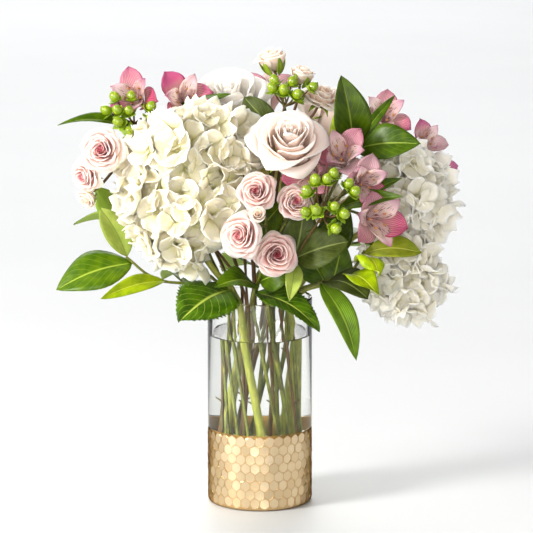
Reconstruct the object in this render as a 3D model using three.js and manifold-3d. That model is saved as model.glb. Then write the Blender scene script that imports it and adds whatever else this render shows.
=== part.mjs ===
// A floral table centerpiece: hydrangeas, roses, spray roses, alstroemeria, berries and leafy
// stems standing in water in a clear glass cylinder vase with a hammered gold cup round its foot.
// Millimetres, +Z up. The origin is under the middle of the vase, and the front faces -Y.
import * as THREE from 'three';
import { mergeVertices } from 'three/addons/utils/BufferGeometryUtils.js';
import Module from 'manifold-3d';

const wasm = await Module();
wasm.setup();

// Driving dimensions.
const GAP = 0.3;
const VASE = { radius: 50.8, height: 203, wall: 3.5, floor: 7, rim: 1.2, sides: 30 };
const CUP = { height: 73, skin: 1.6, relief: 0.8, round: 23, rows: 7, corner: 3.5,
  zigzag: 1.5 };
const WATER = { level: 165, sides: 30 };
const BUNDLE = { foot: 10.6, mouth: 203, straight: 168, twist: 60, outer: [33, 36], inner: [15, 17] };
const STEM = { hydrangea: 3.4, rose: 2.6, spray: 1.8, alstroemeria: 1.9, hypericum: 1.5, greenery: 1.8,
  branch: 1.5 };
const BLADE = { rib: 1.4, turnStep: 6, turns: 7 };
const PETAL = { thickness: 1.2 };
const FLORET = { radius: 19, depth: 14, shoulder: 2.4, centre: 1.6, notch: 0.55, halfPetal: 25 };
const HEAD_CORE = 9;
const BOUQUET = { heart: [0, 0, 270], hidden: -0.4 };
const BERRY = { radius: 4.7, tall: 1.15, stalk: 0.9, fork: 2.4 };

const COLOUR = {
  glass: 0xeef3f2, gold: 0xc99a5b, water: 0xdde8e6, cream: 0xf1ecd2, white: 0xeeeeea,
  blush: 0xf3e3d8, pink: 0xe3b3ae, alstroemeria: 0xe2a3ab, stem: 0x7f9a4a, wood: 0x7a5a3c,
  leaf: 0x3f5a34, berry: 0xb7c94f,
};

const UP = new THREE.Vector3(0, 0, 1);
const point = (list) => new THREE.Vector3(...list);
const GOLDEN_ANGLE = Math.PI * (3 - Math.sqrt(5));
const radians = THREE.MathUtils.degToRad;
const polar = (radius, angle, z) => point([radius * Math.cos(angle), radius * Math.sin(angle), z]);

// ---------------------------------------------------------------- solids

// A closed geometry from its corners and triangles, turned so that its faces point out.
function closed(corners, faces) {
  let volume = 0;
  for (const [a, b, c] of faces) {
    volume += corners[a].dot(new THREE.Vector3().crossVectors(corners[b], corners[c]));
  }
  const order = volume < 0 ? faces.map(([a, b, c]) => [a, c, b]) : faces;
  const geometry = new THREE.BufferGeometry().setFromPoints(corners);
  geometry.setIndex(order.flat());
  return geometry;
}

// The same geometry with only its positions, each corner held once.
function bare(geometry) {
  const copy = geometry.clone();
  copy.deleteAttribute('normal');
  copy.deleteAttribute('uv');
  return mergeVertices(copy, 1e-4);
}

function solidOf(geometry) {
  const merged = bare(geometry);
  return new wasm.Manifold(new wasm.Mesh({
    numProp: 3,
    vertProperties: merged.attributes.position.array,
    triVerts: new Uint32Array(merged.index.array),
  }));
}

// A copy with every corner moved out along its normal, for holes and for tests of clearance.
function padded(geometry, by) {
  const copy = bare(geometry);
  copy.computeVertexNormals();
  const { position, normal } = copy.attributes;
  for (let i = 0; i < position.count; i += 1) {
    position.setXYZ(i, position.getX(i) + by * normal.getX(i),
      position.getY(i) + by * normal.getY(i), position.getZ(i) + by * normal.getZ(i));
  }
  return copy;
}

// A round stem through the points of a path, tapering from its first radius to its last.
function tube(points, firstRadius, lastRadius, sides = 5) {
  const corners = [];
  const faces = [];
  const last = points.length - 1;
  let side = Math.abs(points[1].clone().sub(points[0]).normalize().x) < 0.9
    ? new THREE.Vector3(1, 0, 0) : new THREE.Vector3(0, 1, 0);
  points.forEach((at, i) => {
    const along = points[Math.min(i + 1, last)].clone().sub(points[Math.max(i - 1, 0)]).normalize();
    side = side.clone().addScaledVector(along, -side.dot(along)).normalize();
    const across = new THREE.Vector3().crossVectors(along, side);
    const radius = THREE.MathUtils.lerp(firstRadius, lastRadius, i / last);
    for (let j = 0; j < sides; j += 1) {
      const angle = (2 * Math.PI * j) / sides;
      corners.push(at.clone().addScaledVector(side, radius * Math.cos(angle))
        .addScaledVector(across, radius * Math.sin(angle)));
    }
  });
  for (let i = 0; i < last; i += 1) {
    for (let j = 0; j < sides; j += 1) {
      const a = i * sides + j;
      const b = i * sides + ((j + 1) % sides);
      faces.push([a, b, b + sides], [a, b + sides, a + sides]);
    }
  }
  for (let j = 1; j < sides - 1; j += 1) {
    faces.push([0, j + 1, j], [last * sides, last * sides + j, last * sides + j + 1]);
  }
  return closed(corners, faces);
}

// A smooth run of points through hand-chosen ones.
function smooth(points, spans) {
  return new THREE.CatmullRomCurve3(points, false, 'centripetal').getPoints(spans);
}

// A blade from its root to its tip: an arched and folded lens. Its edge may wave, and `teeth`
// cuts every second station back.
function blade(root, tip, facing, { width, arch = 0, fold = 0.15, widest = 0.45, stations = 6,
  teeth = 0, wave = 0 }) {
  const along = tip.clone().sub(root);
  const forward = along.clone().normalize();
  const face = facing.clone().addScaledVector(forward, -facing.dot(forward)).normalize();
  const across = new THREE.Vector3().crossVectors(face, forward);
  const power = Math.log(0.5) / Math.log(widest);
  const corners = [root.clone(), tip.clone()];
  const faces = [];
  for (let i = 1; i < stations; i += 1) {
    const t = i / stations;
    const half = (width / 2) * Math.sin(Math.PI * t ** power) ** 0.8 * (1 - teeth * (i % 2));
    const centre = root.clone().addScaledVector(along, t)
      .addScaledVector(face, arch * Math.sin(Math.PI * t));
    const lift = fold * half;
    const ripple = wave * Math.sin(i * 2.1);
    corners.push(centre.clone().addScaledVector(across, half).addScaledVector(face, lift + ripple));
    corners.push(centre.clone().addScaledVector(across, -half).addScaledVector(face, lift - ripple));
    corners.push(centre.clone().addScaledVector(face, BLADE.rib / 2));
    corners.push(centre.clone().addScaledVector(face, -BLADE.rib / 2));
  }
  const station = (i) => [0, 1, 2, 3].map((k) => 2 + (i - 1) * 4 + k);
  for (const [end, i] of [[0, 1], [1, stations - 1]]) {
    const [left, right, top, under] = station(i);
    const fan = [[end, left, top], [end, top, right], [end, right, under], [end, under, left]];
    faces.push(...(end === 0 ? fan : fan.map(([a, b, c]) => [a, c, b])));
  }
  for (let i = 1; i < stations - 1; i += 1) {
    const here = station(i);
    const next = station(i + 1);
    for (const [k, m] of [[0, 2], [2, 1], [1, 3], [3, 0]]) {
      // The long diagonal runs from the rib to the edge on both faces alike.
      const ribFirst = k > 1;
      if (ribFirst) faces.push([here[k], next[k], here[m]], [here[m], next[k], next[m]]);
      else faces.push([here[k], next[m], here[m]], [here[k], next[k], next[m]]);
    }
  }
  return closed(corners, faces);
}

// A petal: a patch of a bowl round +Z, given by rows of [radius, height, half angle] from root to
// lip. One side lies further out by `skew`, so that neighbours overlap without crossing.
function petal(rows, around, { columns = 4, skew = 0, round = 0 }) {
  const corners = [new THREE.Vector3(0, 0, rows[0][1] - rows[0][0] * 0.4)];
  const faces = [];
  const count = rows.length;
  const sheets = [1, -1].map(() => []);
  rows.forEach(([radius, height, half], k) => {
    const before = rows[Math.max(k - 1, 0)];
    const after = rows[Math.min(k + 1, count - 1)];
    const out = new THREE.Vector2(after[1] - before[1], before[0] - after[0]).normalize();
    const line = sheets.map(() => []);
    for (let j = 0; j <= columns; j += 1) {
      const s = (2 * j) / columns - 1;
      const edge = j === 0 || j === columns || k === count - 1;
      const angle = around + s * radians(half);
      const reach = radius * (1 + skew * s);
      const z = height - round * s * s * ((k + 1) / count);
      [1, -1].forEach((sign, sheet) => {
        if (edge && sheet === 1) {
          line[1].push(line[0][j]);
          return;
        }
        const shift = edge ? 0 : (sign * PETAL.thickness) / 2;
        corners.push(polar(reach + shift * out.x, angle, z + shift * out.y));
        line[sheet].push(corners.length - 1);
      });
    }
    sheets.forEach((sheet, n) => sheet.push(line[n]));
  });
  sheets.forEach((sheet, n) => {
    const add = (a, b, c) => faces.push(n === 0 ? [a, b, c] : [a, c, b]);
    for (let j = 0; j < columns; j += 1) {
      add(0, sheet[0][j], sheet[0][j + 1]);
      for (let k = 0; k < count - 1; k += 1) {
        add(sheet[k][j], sheet[k + 1][j], sheet[k][j + 1]);
        add(sheet[k][j + 1], sheet[k + 1][j], sheet[k + 1][j + 1]);
      }
    }
  });
  return closed(corners, faces);
}

// A four-petalled floret on a pointed foot, opening towards +Z.
function floret() {
  const corners = [new THREE.Vector3(0, 0, FLORET.centre), new THREE.Vector3(0, 0, -FLORET.depth)];
  const faces = [];
  for (let q = 0; q < 4; q += 1) {
    const middle = (q * Math.PI) / 2;
    corners.push(polar(FLORET.radius * FLORET.notch, middle - Math.PI / 4, 0));
    corners.push(polar(FLORET.radius, middle - radians(FLORET.halfPetal), FLORET.shoulder));
    corners.push(polar(FLORET.radius, middle + radians(FLORET.halfPetal), FLORET.shoulder));
  }
  for (let q = 0; q < 4; q += 1) {
    const [notch, first, second] = [2 + 3 * q, 3 + 3 * q, 4 + 3 * q];
    const next = 2 + 3 * ((q + 1) % 4);
    faces.push([0, notch, first], [0, first, second], [0, second, next]);
    faces.push([first, notch, next], [second, first, next], [1, next, notch]);
  }
  return closed(corners, faces);
}

// Turns a shape that opens towards +Z to face a direction, at a place.
function stand(geometry, at, facing, spin = 0) {
  const turn = new THREE.Quaternion().setFromUnitVectors(UP, facing.clone().normalize());
  return geometry.rotateZ(spin).applyQuaternion(turn).translate(at.x, at.y, at.z);
}

// ---------------------------------------------------------------- the growing bouquet

// Every placed element, so that what grows later can be bent clear of it.
const placed = [];

function nearTo(box, other) {
  return box.min.every((low, i) => low < other.max[i]) && box.max.every((high, i) => high > other.min[i]);
}

// True where the geometry keeps its gap to all that other nodes have placed.
function isClear(geometry, owners) {
  const solid = solidOf(padded(geometry, GAP + 0.1));
  const box = solid.boundingBox();
  return placed.every(({ owner, solid: other, box: otherBox }) => owners.includes(owner)
    || !nearTo(box, otherBox) || solid.intersect(other).isEmpty());
}

function grow(owner, geometry) {
  const solid = solidOf(geometry);
  placed.push({ owner, geometry, solid, box: solid.boundingBox() });
}

// Grows the first of several shapes that is clear, and none where all of them cross a neighbour.
function growClear(owner, candidates, friends = []) {
  for (const shape of candidates) {
    const geometry = shape();
    if (isClear(geometry, [owner, ...friends])) {
      grow(owner, geometry);
      return;
    }
  }
}

// A leaf bent clear: it swings and dips about its root in small turns until it is clear.
function growLeaf(owner, root, tip, facing, shape) {
  const along = tip.clone().sub(root);
  const across = new THREE.Vector3().crossVectors(facing, along).normalize();
  const candidates = [];
  for (let step = 0; step <= BLADE.turns; step += 1) {
    for (let way = 0; way < (step === 0 ? 1 : 8); way += 1) {
      const size = radians(BLADE.turnStep * step);
      const swing = size * Math.cos((way * Math.PI) / 4);
      const dip = size * Math.sin((way * Math.PI) / 4);
      const bent = along.clone().applyAxisAngle(facing, swing).applyAxisAngle(across, dip);
      candidates.push(() => blade(root, root.clone().add(bent), facing, shape));
    }
  }
  growClear(owner, candidates);
}

// The straight run of a stem in the vase: all stems of a ring lean the same way round, so none cross.
function bundlePoint(ring, angle, z) {
  const low = BUNDLE.foot;
  const [top, foot] = BUNDLE[ring];
  const mouth = polar(top, radians(angle), BUNDLE.mouth);
  const base = polar(foot, radians(angle + BUNDLE.twist), low);
  return base.lerp(mouth, (z - low) / (BUNDLE.mouth - low));
}

function growStem(owner, { ring, angle, route, radius, thin = 0.75 }) {
  const start = [BUNDLE.straight, BUNDLE.mouth].map((z) => bundlePoint(ring, angle, z));
  const run = smooth([...start, ...route.map(point)], 1 + 2 * route.length);
  const foot = bundlePoint(ring, angle, BUNDLE.foot);
  grow(owner, tube([foot, ...run], radius, radius * thin));
}


// ---------------------------------------------------------------- flowers and fruit

// A rose: petals in layers round a closed heart, with its origin at the bowl's middle. Rows are
// [radius, height, half angle] in bloom sizes.
const ROSE_HEART = { radius: 0.24, tall: 0.5, middle: -0.06 };
const ROSE_LAYERS = [
  { count: 3, turn: 0.3, skew: 0.14, round: 0.05, rows: [[0.32, 0, 58], [0.4, 0.5, 50]] },
  { count: 3, turn: 0.9, skew: 0.1, round: 0.1, rows: [[0.52, -0.1, 58], [0.66, 0.42, 50]] },
  { count: 5, turn: 0.1, skew: 0.08, round: 0.1, rows: [[0.6, -0.3, 42], [0.86, 0.08, 42], [0.98, 0.3, 26]] },
];

function growRose({ name, stem, at, facing, size }) {
  const centre = point(at);
  const look = point(facing);
  const { radius, tall, middle } = ROSE_HEART;
  const heart = new THREE.SphereGeometry(size, 5, 4).rotateX(Math.PI / 2);
  heart.scale(radius, radius, tall).translate(0, 0, size * middle);
  grow(name, stand(heart, centre, look));
  for (const { count, turn, skew, round, rows } of ROSE_LAYERS) {
    for (let i = 0; i < count; i += 1) {
      const around = turn + (2 * Math.PI * i) / count;
      growClear(name, [1, 0.9, 0.8, 0.7].map((shrink) => () => {
        const sized = rows.map(([r, h, half]) => [r * size * shrink, h * size, half]);
        return stand(petal(sized, around, { columns: 3, skew, round: round * size }), centre, look);
      }), [stem]);
    }
  }
}

// A small double bloom as one folded surface: it runs up the outer petals, over their lips and down
// between the layers to a pointed heart. Rings are [radius, height, depth of the notches].
const SPRAY_RINGS = [[0.4, -0.42, 0], [0.98, 0.12, 0.16], [1.0, 0.26, 0.2], [0.62, 0, 0.05],
  [0.56, 0.42, 0.14], [0.3, 0.18, 0], [0.16, 0.5, 0]];
const BUD_RINGS = [[0.6, -0.1, 0], [0.95, 0.5, 0.1], [0.7, 1.3, 0.16], [0.3, 1.2, 0]];

function rosette(size, rings, petals = 5) {
  const sides = petals * 2;
  const [firstRing, lastRing] = [rings[0], rings[rings.length - 1]];
  const corners = [new THREE.Vector3(0, 0, (firstRing[1] - 0.25) * size),
    new THREE.Vector3(0, 0, (lastRing[1] + 0.08) * size)];
  const faces = [];
  rings.forEach(([radius, height, notch], k) => {
    for (let j = 0; j < sides; j += 1) {
      const turnBy = (Math.floor(k / 3) * Math.PI) / petals;
      const inset = j % 2 ? 1 - notch : 1;
      corners.push(polar(radius * size * inset, (Math.PI * j) / petals + turnBy,
        (height - (j % 2 ? notch : 0)) * size));
    }
  });
  for (let j = 0; j < sides; j += 1) {
    const next = (j + 1) % sides;
    const top = 2 + (rings.length - 1) * sides;
    faces.push([0, 2 + next, 2 + j], [1, top + j, top + next]);
    for (let k = 0; k < rings.length - 1; k += 1) {
      const [low, high] = [2 + k * sides, 2 + (k + 1) * sides];
      faces.push([low + j, low + next, high + next], [low + j, high + next, high + j]);
    }
  }
  return closed(corners, faces);
}

function growRosette(owner, { stem, at, facing, size, rings, petals }) {
  growClear(owner, [1, 0.92, 0.84, 0.76].map((shrink) => () => stand(rosette(size * shrink, rings, petals),
    point(at), point(facing))), [stem]);
}

// A lily-like bloom: six keeled tepals round a throat, every second one narrower and more upright,
// with two stamens.
const LILY = { wide: [0.62, 24, 0.34, 0.98, 0.42], narrow: [0.5, 17, 0.44, 0.88, 0.66], throat: -0.1,
  notch: 0.2, keel: 1.6, foot: -0.55, stamens: [0.8, 3.6] };

function lily(size) {
  const corners = [new THREE.Vector3(0, 0, LILY.throat * size), new THREE.Vector3(0, 0, LILY.foot * size)];
  const faces = [];
  for (let i = 0; i < 6; i += 1) {
    const [reach, half, lift, tip, tipLift] = i % 2 ? LILY.narrow : LILY.wide;
    const middle = (i * Math.PI) / 3;
    corners.push(polar(LILY.notch * size, middle - Math.PI / 6, 0));
    corners.push(polar(reach * size, middle - radians(half), lift * size));
    corners.push(polar(tip * size, middle, tipLift * size));
    corners.push(polar(reach * size, middle + radians(half), lift * size));
    corners.push(polar(LILY.notch * size * 1.1, middle, -LILY.keel - 0.04 * size));
  }
  for (let i = 0; i < 6; i += 1) {
    const [notch, left, tip, right, keel] = [0, 1, 2, 3, 4].map((k) => 2 + 5 * i + k);
    const next = 2 + 5 * ((i + 1) % 6);
    faces.push([0, notch, left], [0, left, tip], [0, tip, right], [0, right, next]);
    faces.push([keel, left, notch], [keel, tip, left], [keel, right, tip], [keel, next, right]);
    faces.push([1, keel, notch], [1, next, keel]);
  }
  return closed(corners, faces);
}

function growAlstroemeria({ name, stem, at, facing, size }) {
  const spins = [0, 0.25, 0.5, 0.75];
  growClear(name, [1, 0.9, 0.8].flatMap((shrink) => spins.map((spin) => () => stand(
    lily(size * shrink), point(at), point(facing), spin))), [stem]);
  for (const side of LILY.stamens) {
    const path = [[0, -0.2], [0.14, 0.66]].map(([r, z]) => polar(r * size, side, z * size));
    growClear(name, [() => stand(tube(path, 1, 1.2, 3), point(at), point(facing))], [stem]);
  }
}

// A mophead: florets spread evenly over an oval core, each only where it has room, and none on the
// side that presses into the middle of the bouquet.
function growMophead({ name, stem, at, radii, count }) {
  const centre = point(at);
  const outward = centre.clone().sub(point(BOUQUET.heart)).normalize();
  const core = new THREE.IcosahedronGeometry(1, 1);
  core.scale(...radii.map((r) => r - HEAD_CORE)).translate(...at);
  grow(name, core);
  for (let i = 0; i < count; i += 1) {
    const height = 1 - (2 * i + 1) / count;
    const unit = polar(Math.sqrt(1 - height * height), GOLDEN_ANGLE * i, height);
    const normal = unit.clone().divide(point(radii)).normalize();
    if (normal.dot(outward) < BOUQUET.hidden) continue;
    const spot = unit.clone().multiply(point(radii)).add(centre);
    const spin = THREE.MathUtils.seededRandom(i + 7) * Math.PI;
    const sink = [0, 2, 4, 6, 8];
    growClear(name, sink.map((depth) => () => stand(floret(),
      spot.clone().addScaledVector(normal, -depth - FLORET.shoulder), normal, spin)), [stem]);
  }
}

// A berry over a star of three sepals, on a three-sided stalk from the fork. Rings are
// [radius, distance from the berry's middle], both in berry sizes.
const BERRY_RINGS = [[1.35, -0.75], [1.0, 0.1], [0.55, 0.95]];

function berry(fork, spot) {
  const { radius, tall, stalk } = BERRY;
  const out = spot.clone().sub(fork);
  const length = out.length();
  const corners = [new THREE.Vector3(0, 0, 0), new THREE.Vector3(0, 0, length + radius * tall)];
  const faces = [];
  for (let j = 0; j < 3; j += 1) {
    corners.push(polar(stalk, (2 * Math.PI * j) / 3, length - radius * tall * 1.1));
    const [here, next, star] = [2 + j, 2 + ((j + 1) % 3), 5 + 2 * j];
    const starNext = 5 + ((2 * j + 2) % 6);
    faces.push([0, next, here], [here, star + 1, star], [here, next, star + 1], [next, starNext, star + 1]);
  }
  BERRY_RINGS.forEach(([reach, rise], k) => {
    for (let j = 0; j < 6; j += 1) {
      const inset = k === 0 && j % 2 ? 0.4 : 1;
      corners.push(polar(reach * radius * inset, (Math.PI * j) / 3, length + rise * radius));
    }
  });
  for (let j = 0; j < 6; j += 1) {
    const next = (j + 1) % 6;
    faces.push([1, 17 + j, 17 + next]);
    for (const low of [5, 11]) {
      faces.push([low + j, low + next, low + 6 + next], [low + j, low + 6 + next, low + 6 + j]);
    }
  }
  return stand(closed(corners, faces), fork, out);
}

// A domed cluster of berries whose stalks all spring from the fork.
function growBerries(owner, { fork, at, radii, count, facing }) {
  const centre = point(at);
  const turn = new THREE.Quaternion().setFromUnitVectors(UP, point(facing).normalize());
  grow(owner, new THREE.OctahedronGeometry(BERRY.fork).translate(...fork));
  for (let i = 0; i < count; i += 1) {
    const reach = Math.sqrt((i + 0.5) / count);
    const spread = polar(reach, GOLDEN_ANGLE * i, 1 - reach * reach + (i % 2) * 0.4).multiply(point(radii));
    const spot = spread.applyQuaternion(turn).add(centre);
    const away = spot.clone().sub(point(fork));
    growClear(owner, [1, 0.9, 0.8, 1.15, 0.7].map((size) => () => berry(point(fork),
      point(fork).addScaledVector(away, size))));
  }
}

// ---------------------------------------------------------------- vase

// A ring or cup turned from a closed profile of [radius, z] corners.
function turned(profile, sides) {
  const line = profile.map(([radius, z]) => new THREE.Vector2(radius, z));
  return new THREE.LatheGeometry(line, sides).rotateX(Math.PI / 2);
}

function vaseGlass() {
  const { radius, height, wall, floor, rim, sides } = VASE;
  const inner = radius - wall;
  const foot = radius - CUP.skin - GAP - CUP.relief;
  const bottom = CUP.skin + GAP;
  const shoulder = CUP.height + CUP.zigzag + GAP;
  return turned([
    [0, bottom], [foot - CUP.corner, bottom], [foot, bottom + CUP.corner], [foot, shoulder],
    [radius, shoulder], [radius, height - rim], [radius - rim, height],
    [inner + rim, height], [inner, height - rim], [inner, bottom + floor + 2],
    [inner - 2, bottom + floor], [0, bottom + floor],
  ], sides);
}

// The hammered cup: hexagonal dents between zigzag ridges, over a plain foot and inner wall.
function goldCup() {
  const { height, skin, relief, round, rows, corner, zigzag } = CUP;
  const outer = VASE.radius;
  const inner = outer - skin - relief;
  const points = 2 * round;
  const rise = (height - corner) / rows;
  const corners = [];
  const faces = [];
  const ring = (radius, level) => {
    const first = corners.length;
    for (let j = 0; j < points; j += 1) corners.push(polar(radius, (Math.PI * j) / round, level(j)));
    return (j) => first + ((j + points) % points);
  };
  const flat = (z) => () => z;
  const band = (low, high) => {
    for (let j = 0; j < points; j += 1) {
      faces.push([low(j), low(j + 1), high(j + 1)], [low(j), high(j + 1), high(j)]);
    }
  };
  const cap = (edge, z) => {
    corners.push(new THREE.Vector3(0, 0, z));
    const middle = corners.length - 1;
    for (let j = 0; j < points; j += 1) faces.push([edge(j), edge(j + 1), middle]);
  };
  const ridges = [];
  for (let row = 0; row <= rows; row += 1) {
    ridges.push(ring(outer, (j) => corner + row * rise + ((j + row) % 2 ? zigzag : -zigzag)));
  }
  for (let row = 0; row < rows; row += 1) {
    const [low, high] = [ridges[row], ridges[row + 1]];
    for (let j = row % 2; j < points; j += 2) {
      corners.push(polar(outer - relief, (Math.PI * j) / round, corner + (row + 0.5) * rise));
      const dent = corners.length - 1;
      const rim = [low(j - 1), low(j), low(j + 1), high(j + 1), high(j), high(j - 1)];
      rim.forEach((here, n) => faces.push([dent, here, rim[(n + 1) % 6]]));
    }
  }
  const foot = ring(outer - corner, flat(0));
  const mouth = ring(inner, flat(height));
  const heel = ring(inner, flat(skin + corner));
  const well = ring(inner - corner, flat(skin));
  cap((j) => foot(-j), 0);
  band(foot, ridges[0]);
  band(ridges[rows], mouth);
  band(mouth, heel);
  band(heel, well);
  cap(well, skin);
  return closed(corners, faces);
}

// Water up to its level, with a plain hole for every stem that stands in it.
function water() {
  const radius = VASE.radius - VASE.wall - GAP;
  const low = CUP.skin + GAP + VASE.floor + GAP;
  const body = turned([[0, low], [radius - 2, low], [radius, low + 2], [radius, WATER.level],
    [0, WATER.level]], WATER.sides);
  return placed.filter(({ box }) => box.min[2] < WATER.level).reduce(
    (rest, { geometry }) => rest.subtract(solidOf(padded(geometry, GAP + 0.1))), solidOf(body));
}

// ---------------------------------------------------------------- the arrangement

growStem('hydrangea_left_stem', { ring: 'outer', angle: 230, radius: STEM.hydrangea,
  route: [[-45, -30, 235], [-64, -28, 262]] });
growStem('hydrangea_right_upper_stem', { ring: 'outer', angle: 12, radius: STEM.hydrangea,
  route: [[62, 10, 238], [104, 6, 268], [124, 5, 284]] });
growStem('hydrangea_right_lower_stem', { ring: 'outer', angle: -10, radius: STEM.hydrangea,
  route: [[62, -8, 216], [112, -11, 214]] });
growStem('hydrangea_back_stem', { ring: 'outer', angle: 98, radius: STEM.hydrangea,
  route: [[8, 60, 235], [15, 84, 264]] });
growStem('rose_front_stem', { ring: 'outer', angle: 282, radius: STEM.rose,
  route: [[14, -34, 255], [22, -34, 312], [27, -56, 344]] });
growStem('rose_top_stem', { ring: 'inner', angle: 110, radius: STEM.rose,
  route: [[-12, 26, 290], [-24, 46, 345], [-29, 50, 374]] });
growStem('rose_back_stem', { ring: 'outer', angle: 76, radius: STEM.rose,
  route: [[38, 46, 262], [62, 62, 320], [70, 78, 352]] });

growStem('spray_rose_front_stem', { ring: 'outer', angle: 258, radius: STEM.spray,
  route: [[2, -50, 236], [8, -62, 262]] });
growStem('spray_rose_left_stem', { ring: 'inner', angle: 165, radius: STEM.spray,
  route: [[-38, 14, 240], [-80, 40, 278], [-120, 36, 312], [-138, -8, 334]] });
growStem('spray_rose_top_stem', { ring: 'inner', angle: 15, radius: STEM.spray,
  route: [[16, 6, 300], [28, 8, 370]] });
growStem('spray_rose_back_stem', { ring: 'outer', angle: 122, radius: STEM.spray,
  route: [[-34, 58, 255], [-52, 98, 300]] });

growStem('alstroemeria_left_stem', { ring: 'outer', angle: 188, radius: STEM.alstroemeria,
  route: [[-54, 28, 250], [-86, 52, 318], [-94, 36, 362]] });
growStem('alstroemeria_centre_stem', { ring: 'inner', angle: -42, radius: STEM.alstroemeria,
  route: [[36, -26, 262], [62, -36, 300]] });
growStem('alstroemeria_right_stem', { ring: 'outer', angle: 34, radius: STEM.alstroemeria,
  route: [[50, 40, 250], [98, 62, 315], [120, 62, 335]] });
growStem('alstroemeria_back_stem', { ring: 'inner', angle: 60, radius: STEM.alstroemeria,
  route: [[10, 34, 300], [12, 66, 350]] });

growStem('hypericum_left', { ring: 'inner', angle: 215, radius: STEM.hypericum,
  route: [[-22, 20, 272], [-78, 36, 348], [-118, 5, 366]] });
growStem('hypericum_top', { ring: 'inner', angle: 290, radius: STEM.hypericum,
  route: [[10, -14, 300], [22, -14, 382]] });
growStem('hypericum_centre', { ring: 'outer', angle: 306, radius: STEM.hypericum,
  route: [[34, -58, 250], [56, -80, 290]] });
growStem('hypericum_back', { ring: 'outer', angle: 145, radius: STEM.hypericum,
  route: [[-56, 52, 260], [-98, 84, 322]] });

growStem('greenery_left', { ring: 'outer', angle: 208, radius: STEM.greenery,
  route: [[-58, -16, 216], [-100, -26, 224], [-128, -28, 246]] });
growStem('greenery_right', { ring: 'outer', angle: -34, radius: STEM.greenery,
  route: [[52, -44, 222], [86, -54, 236], [100, -50, 256]] });
growStem('greenery_top', { ring: 'inner', angle: -14, radius: STEM.greenery,
  route: [[34, 0, 270], [74, -14, 335], [92, -20, 352]] });
growStem('greenery_back_left', { ring: 'outer', angle: 166, radius: STEM.greenery,
  route: [[-68, 30, 230], [-128, 52, 262]] });
growStem('greenery_back_right', { ring: 'outer', angle: 55, radius: STEM.greenery,
  route: [[56, 56, 228], [112, 84, 256]] });

// Small blooms: each sits on a branch that runs from its spray's stem into the bloom's foot.
const SPRAY_BLOOMS = [
  { name: 'spray_rose_front_1', stem: 'spray_rose_front_stem', at: [-3, -92, 319],
    facing: [-0.2, -0.95, 0.35], size: 17, branch: [[8, -62, 260], [6, -72, 290]] },
  { name: 'spray_rose_front_2', stem: 'spray_rose_front_stem', at: [33, -85, 308],
    facing: [0.3, -0.9, 0.3], size: 16, branch: [[8, -62, 260], [24, -68, 284]] },
  { name: 'spray_rose_front_3', stem: 'spray_rose_front_stem', at: [-18, -96, 278],
    facing: [-0.4, -0.9, 0.15], size: 20, branch: [[6, -60, 256], [-4, -72, 264]] },
  { name: 'spray_rose_front_4', stem: 'spray_rose_front_stem', at: [16, -85, 258],
    facing: [0.1, -0.97, 0.1], size: 19, branch: [[5, -55, 244], [12, -66, 252]] },
  { name: 'spray_rose_left_1', stem: 'spray_rose_left_stem', at: [-149, -57, 353],
    facing: [-0.2, -0.95, 0.2], size: 20, branch: [[-136, -4, 332], [-145, -34, 346]] },
  { name: 'spray_rose_left_2', stem: 'spray_rose_left_stem', at: [-167, -38, 326],
    facing: [-0.9, -0.4, 0.1], size: 13, branch: [[-136, -4, 332], [-152, -20, 328]] },
  { name: 'spray_rose_top', stem: 'spray_rose_top_stem', at: [60, 12, 396],
    facing: [0.25, -0.3, 0.9], size: 19, branch: [[28, 8, 364], [48, 12, 374]] },
  { name: 'spray_rose_back_1', stem: 'spray_rose_back_stem', at: [-40, 138, 320],
    facing: [0.1, 0.95, 0.3], size: 20, branch: [[-52, 98, 298], [-46, 120, 312]] },
  { name: 'spray_rose_back_2', stem: 'spray_rose_back_stem', at: [-70, 120, 344],
    facing: [-0.4, 0.5, 0.8], size: 19, branch: [[-52, 98, 298], [-65, 110, 325]] },
];
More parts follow.
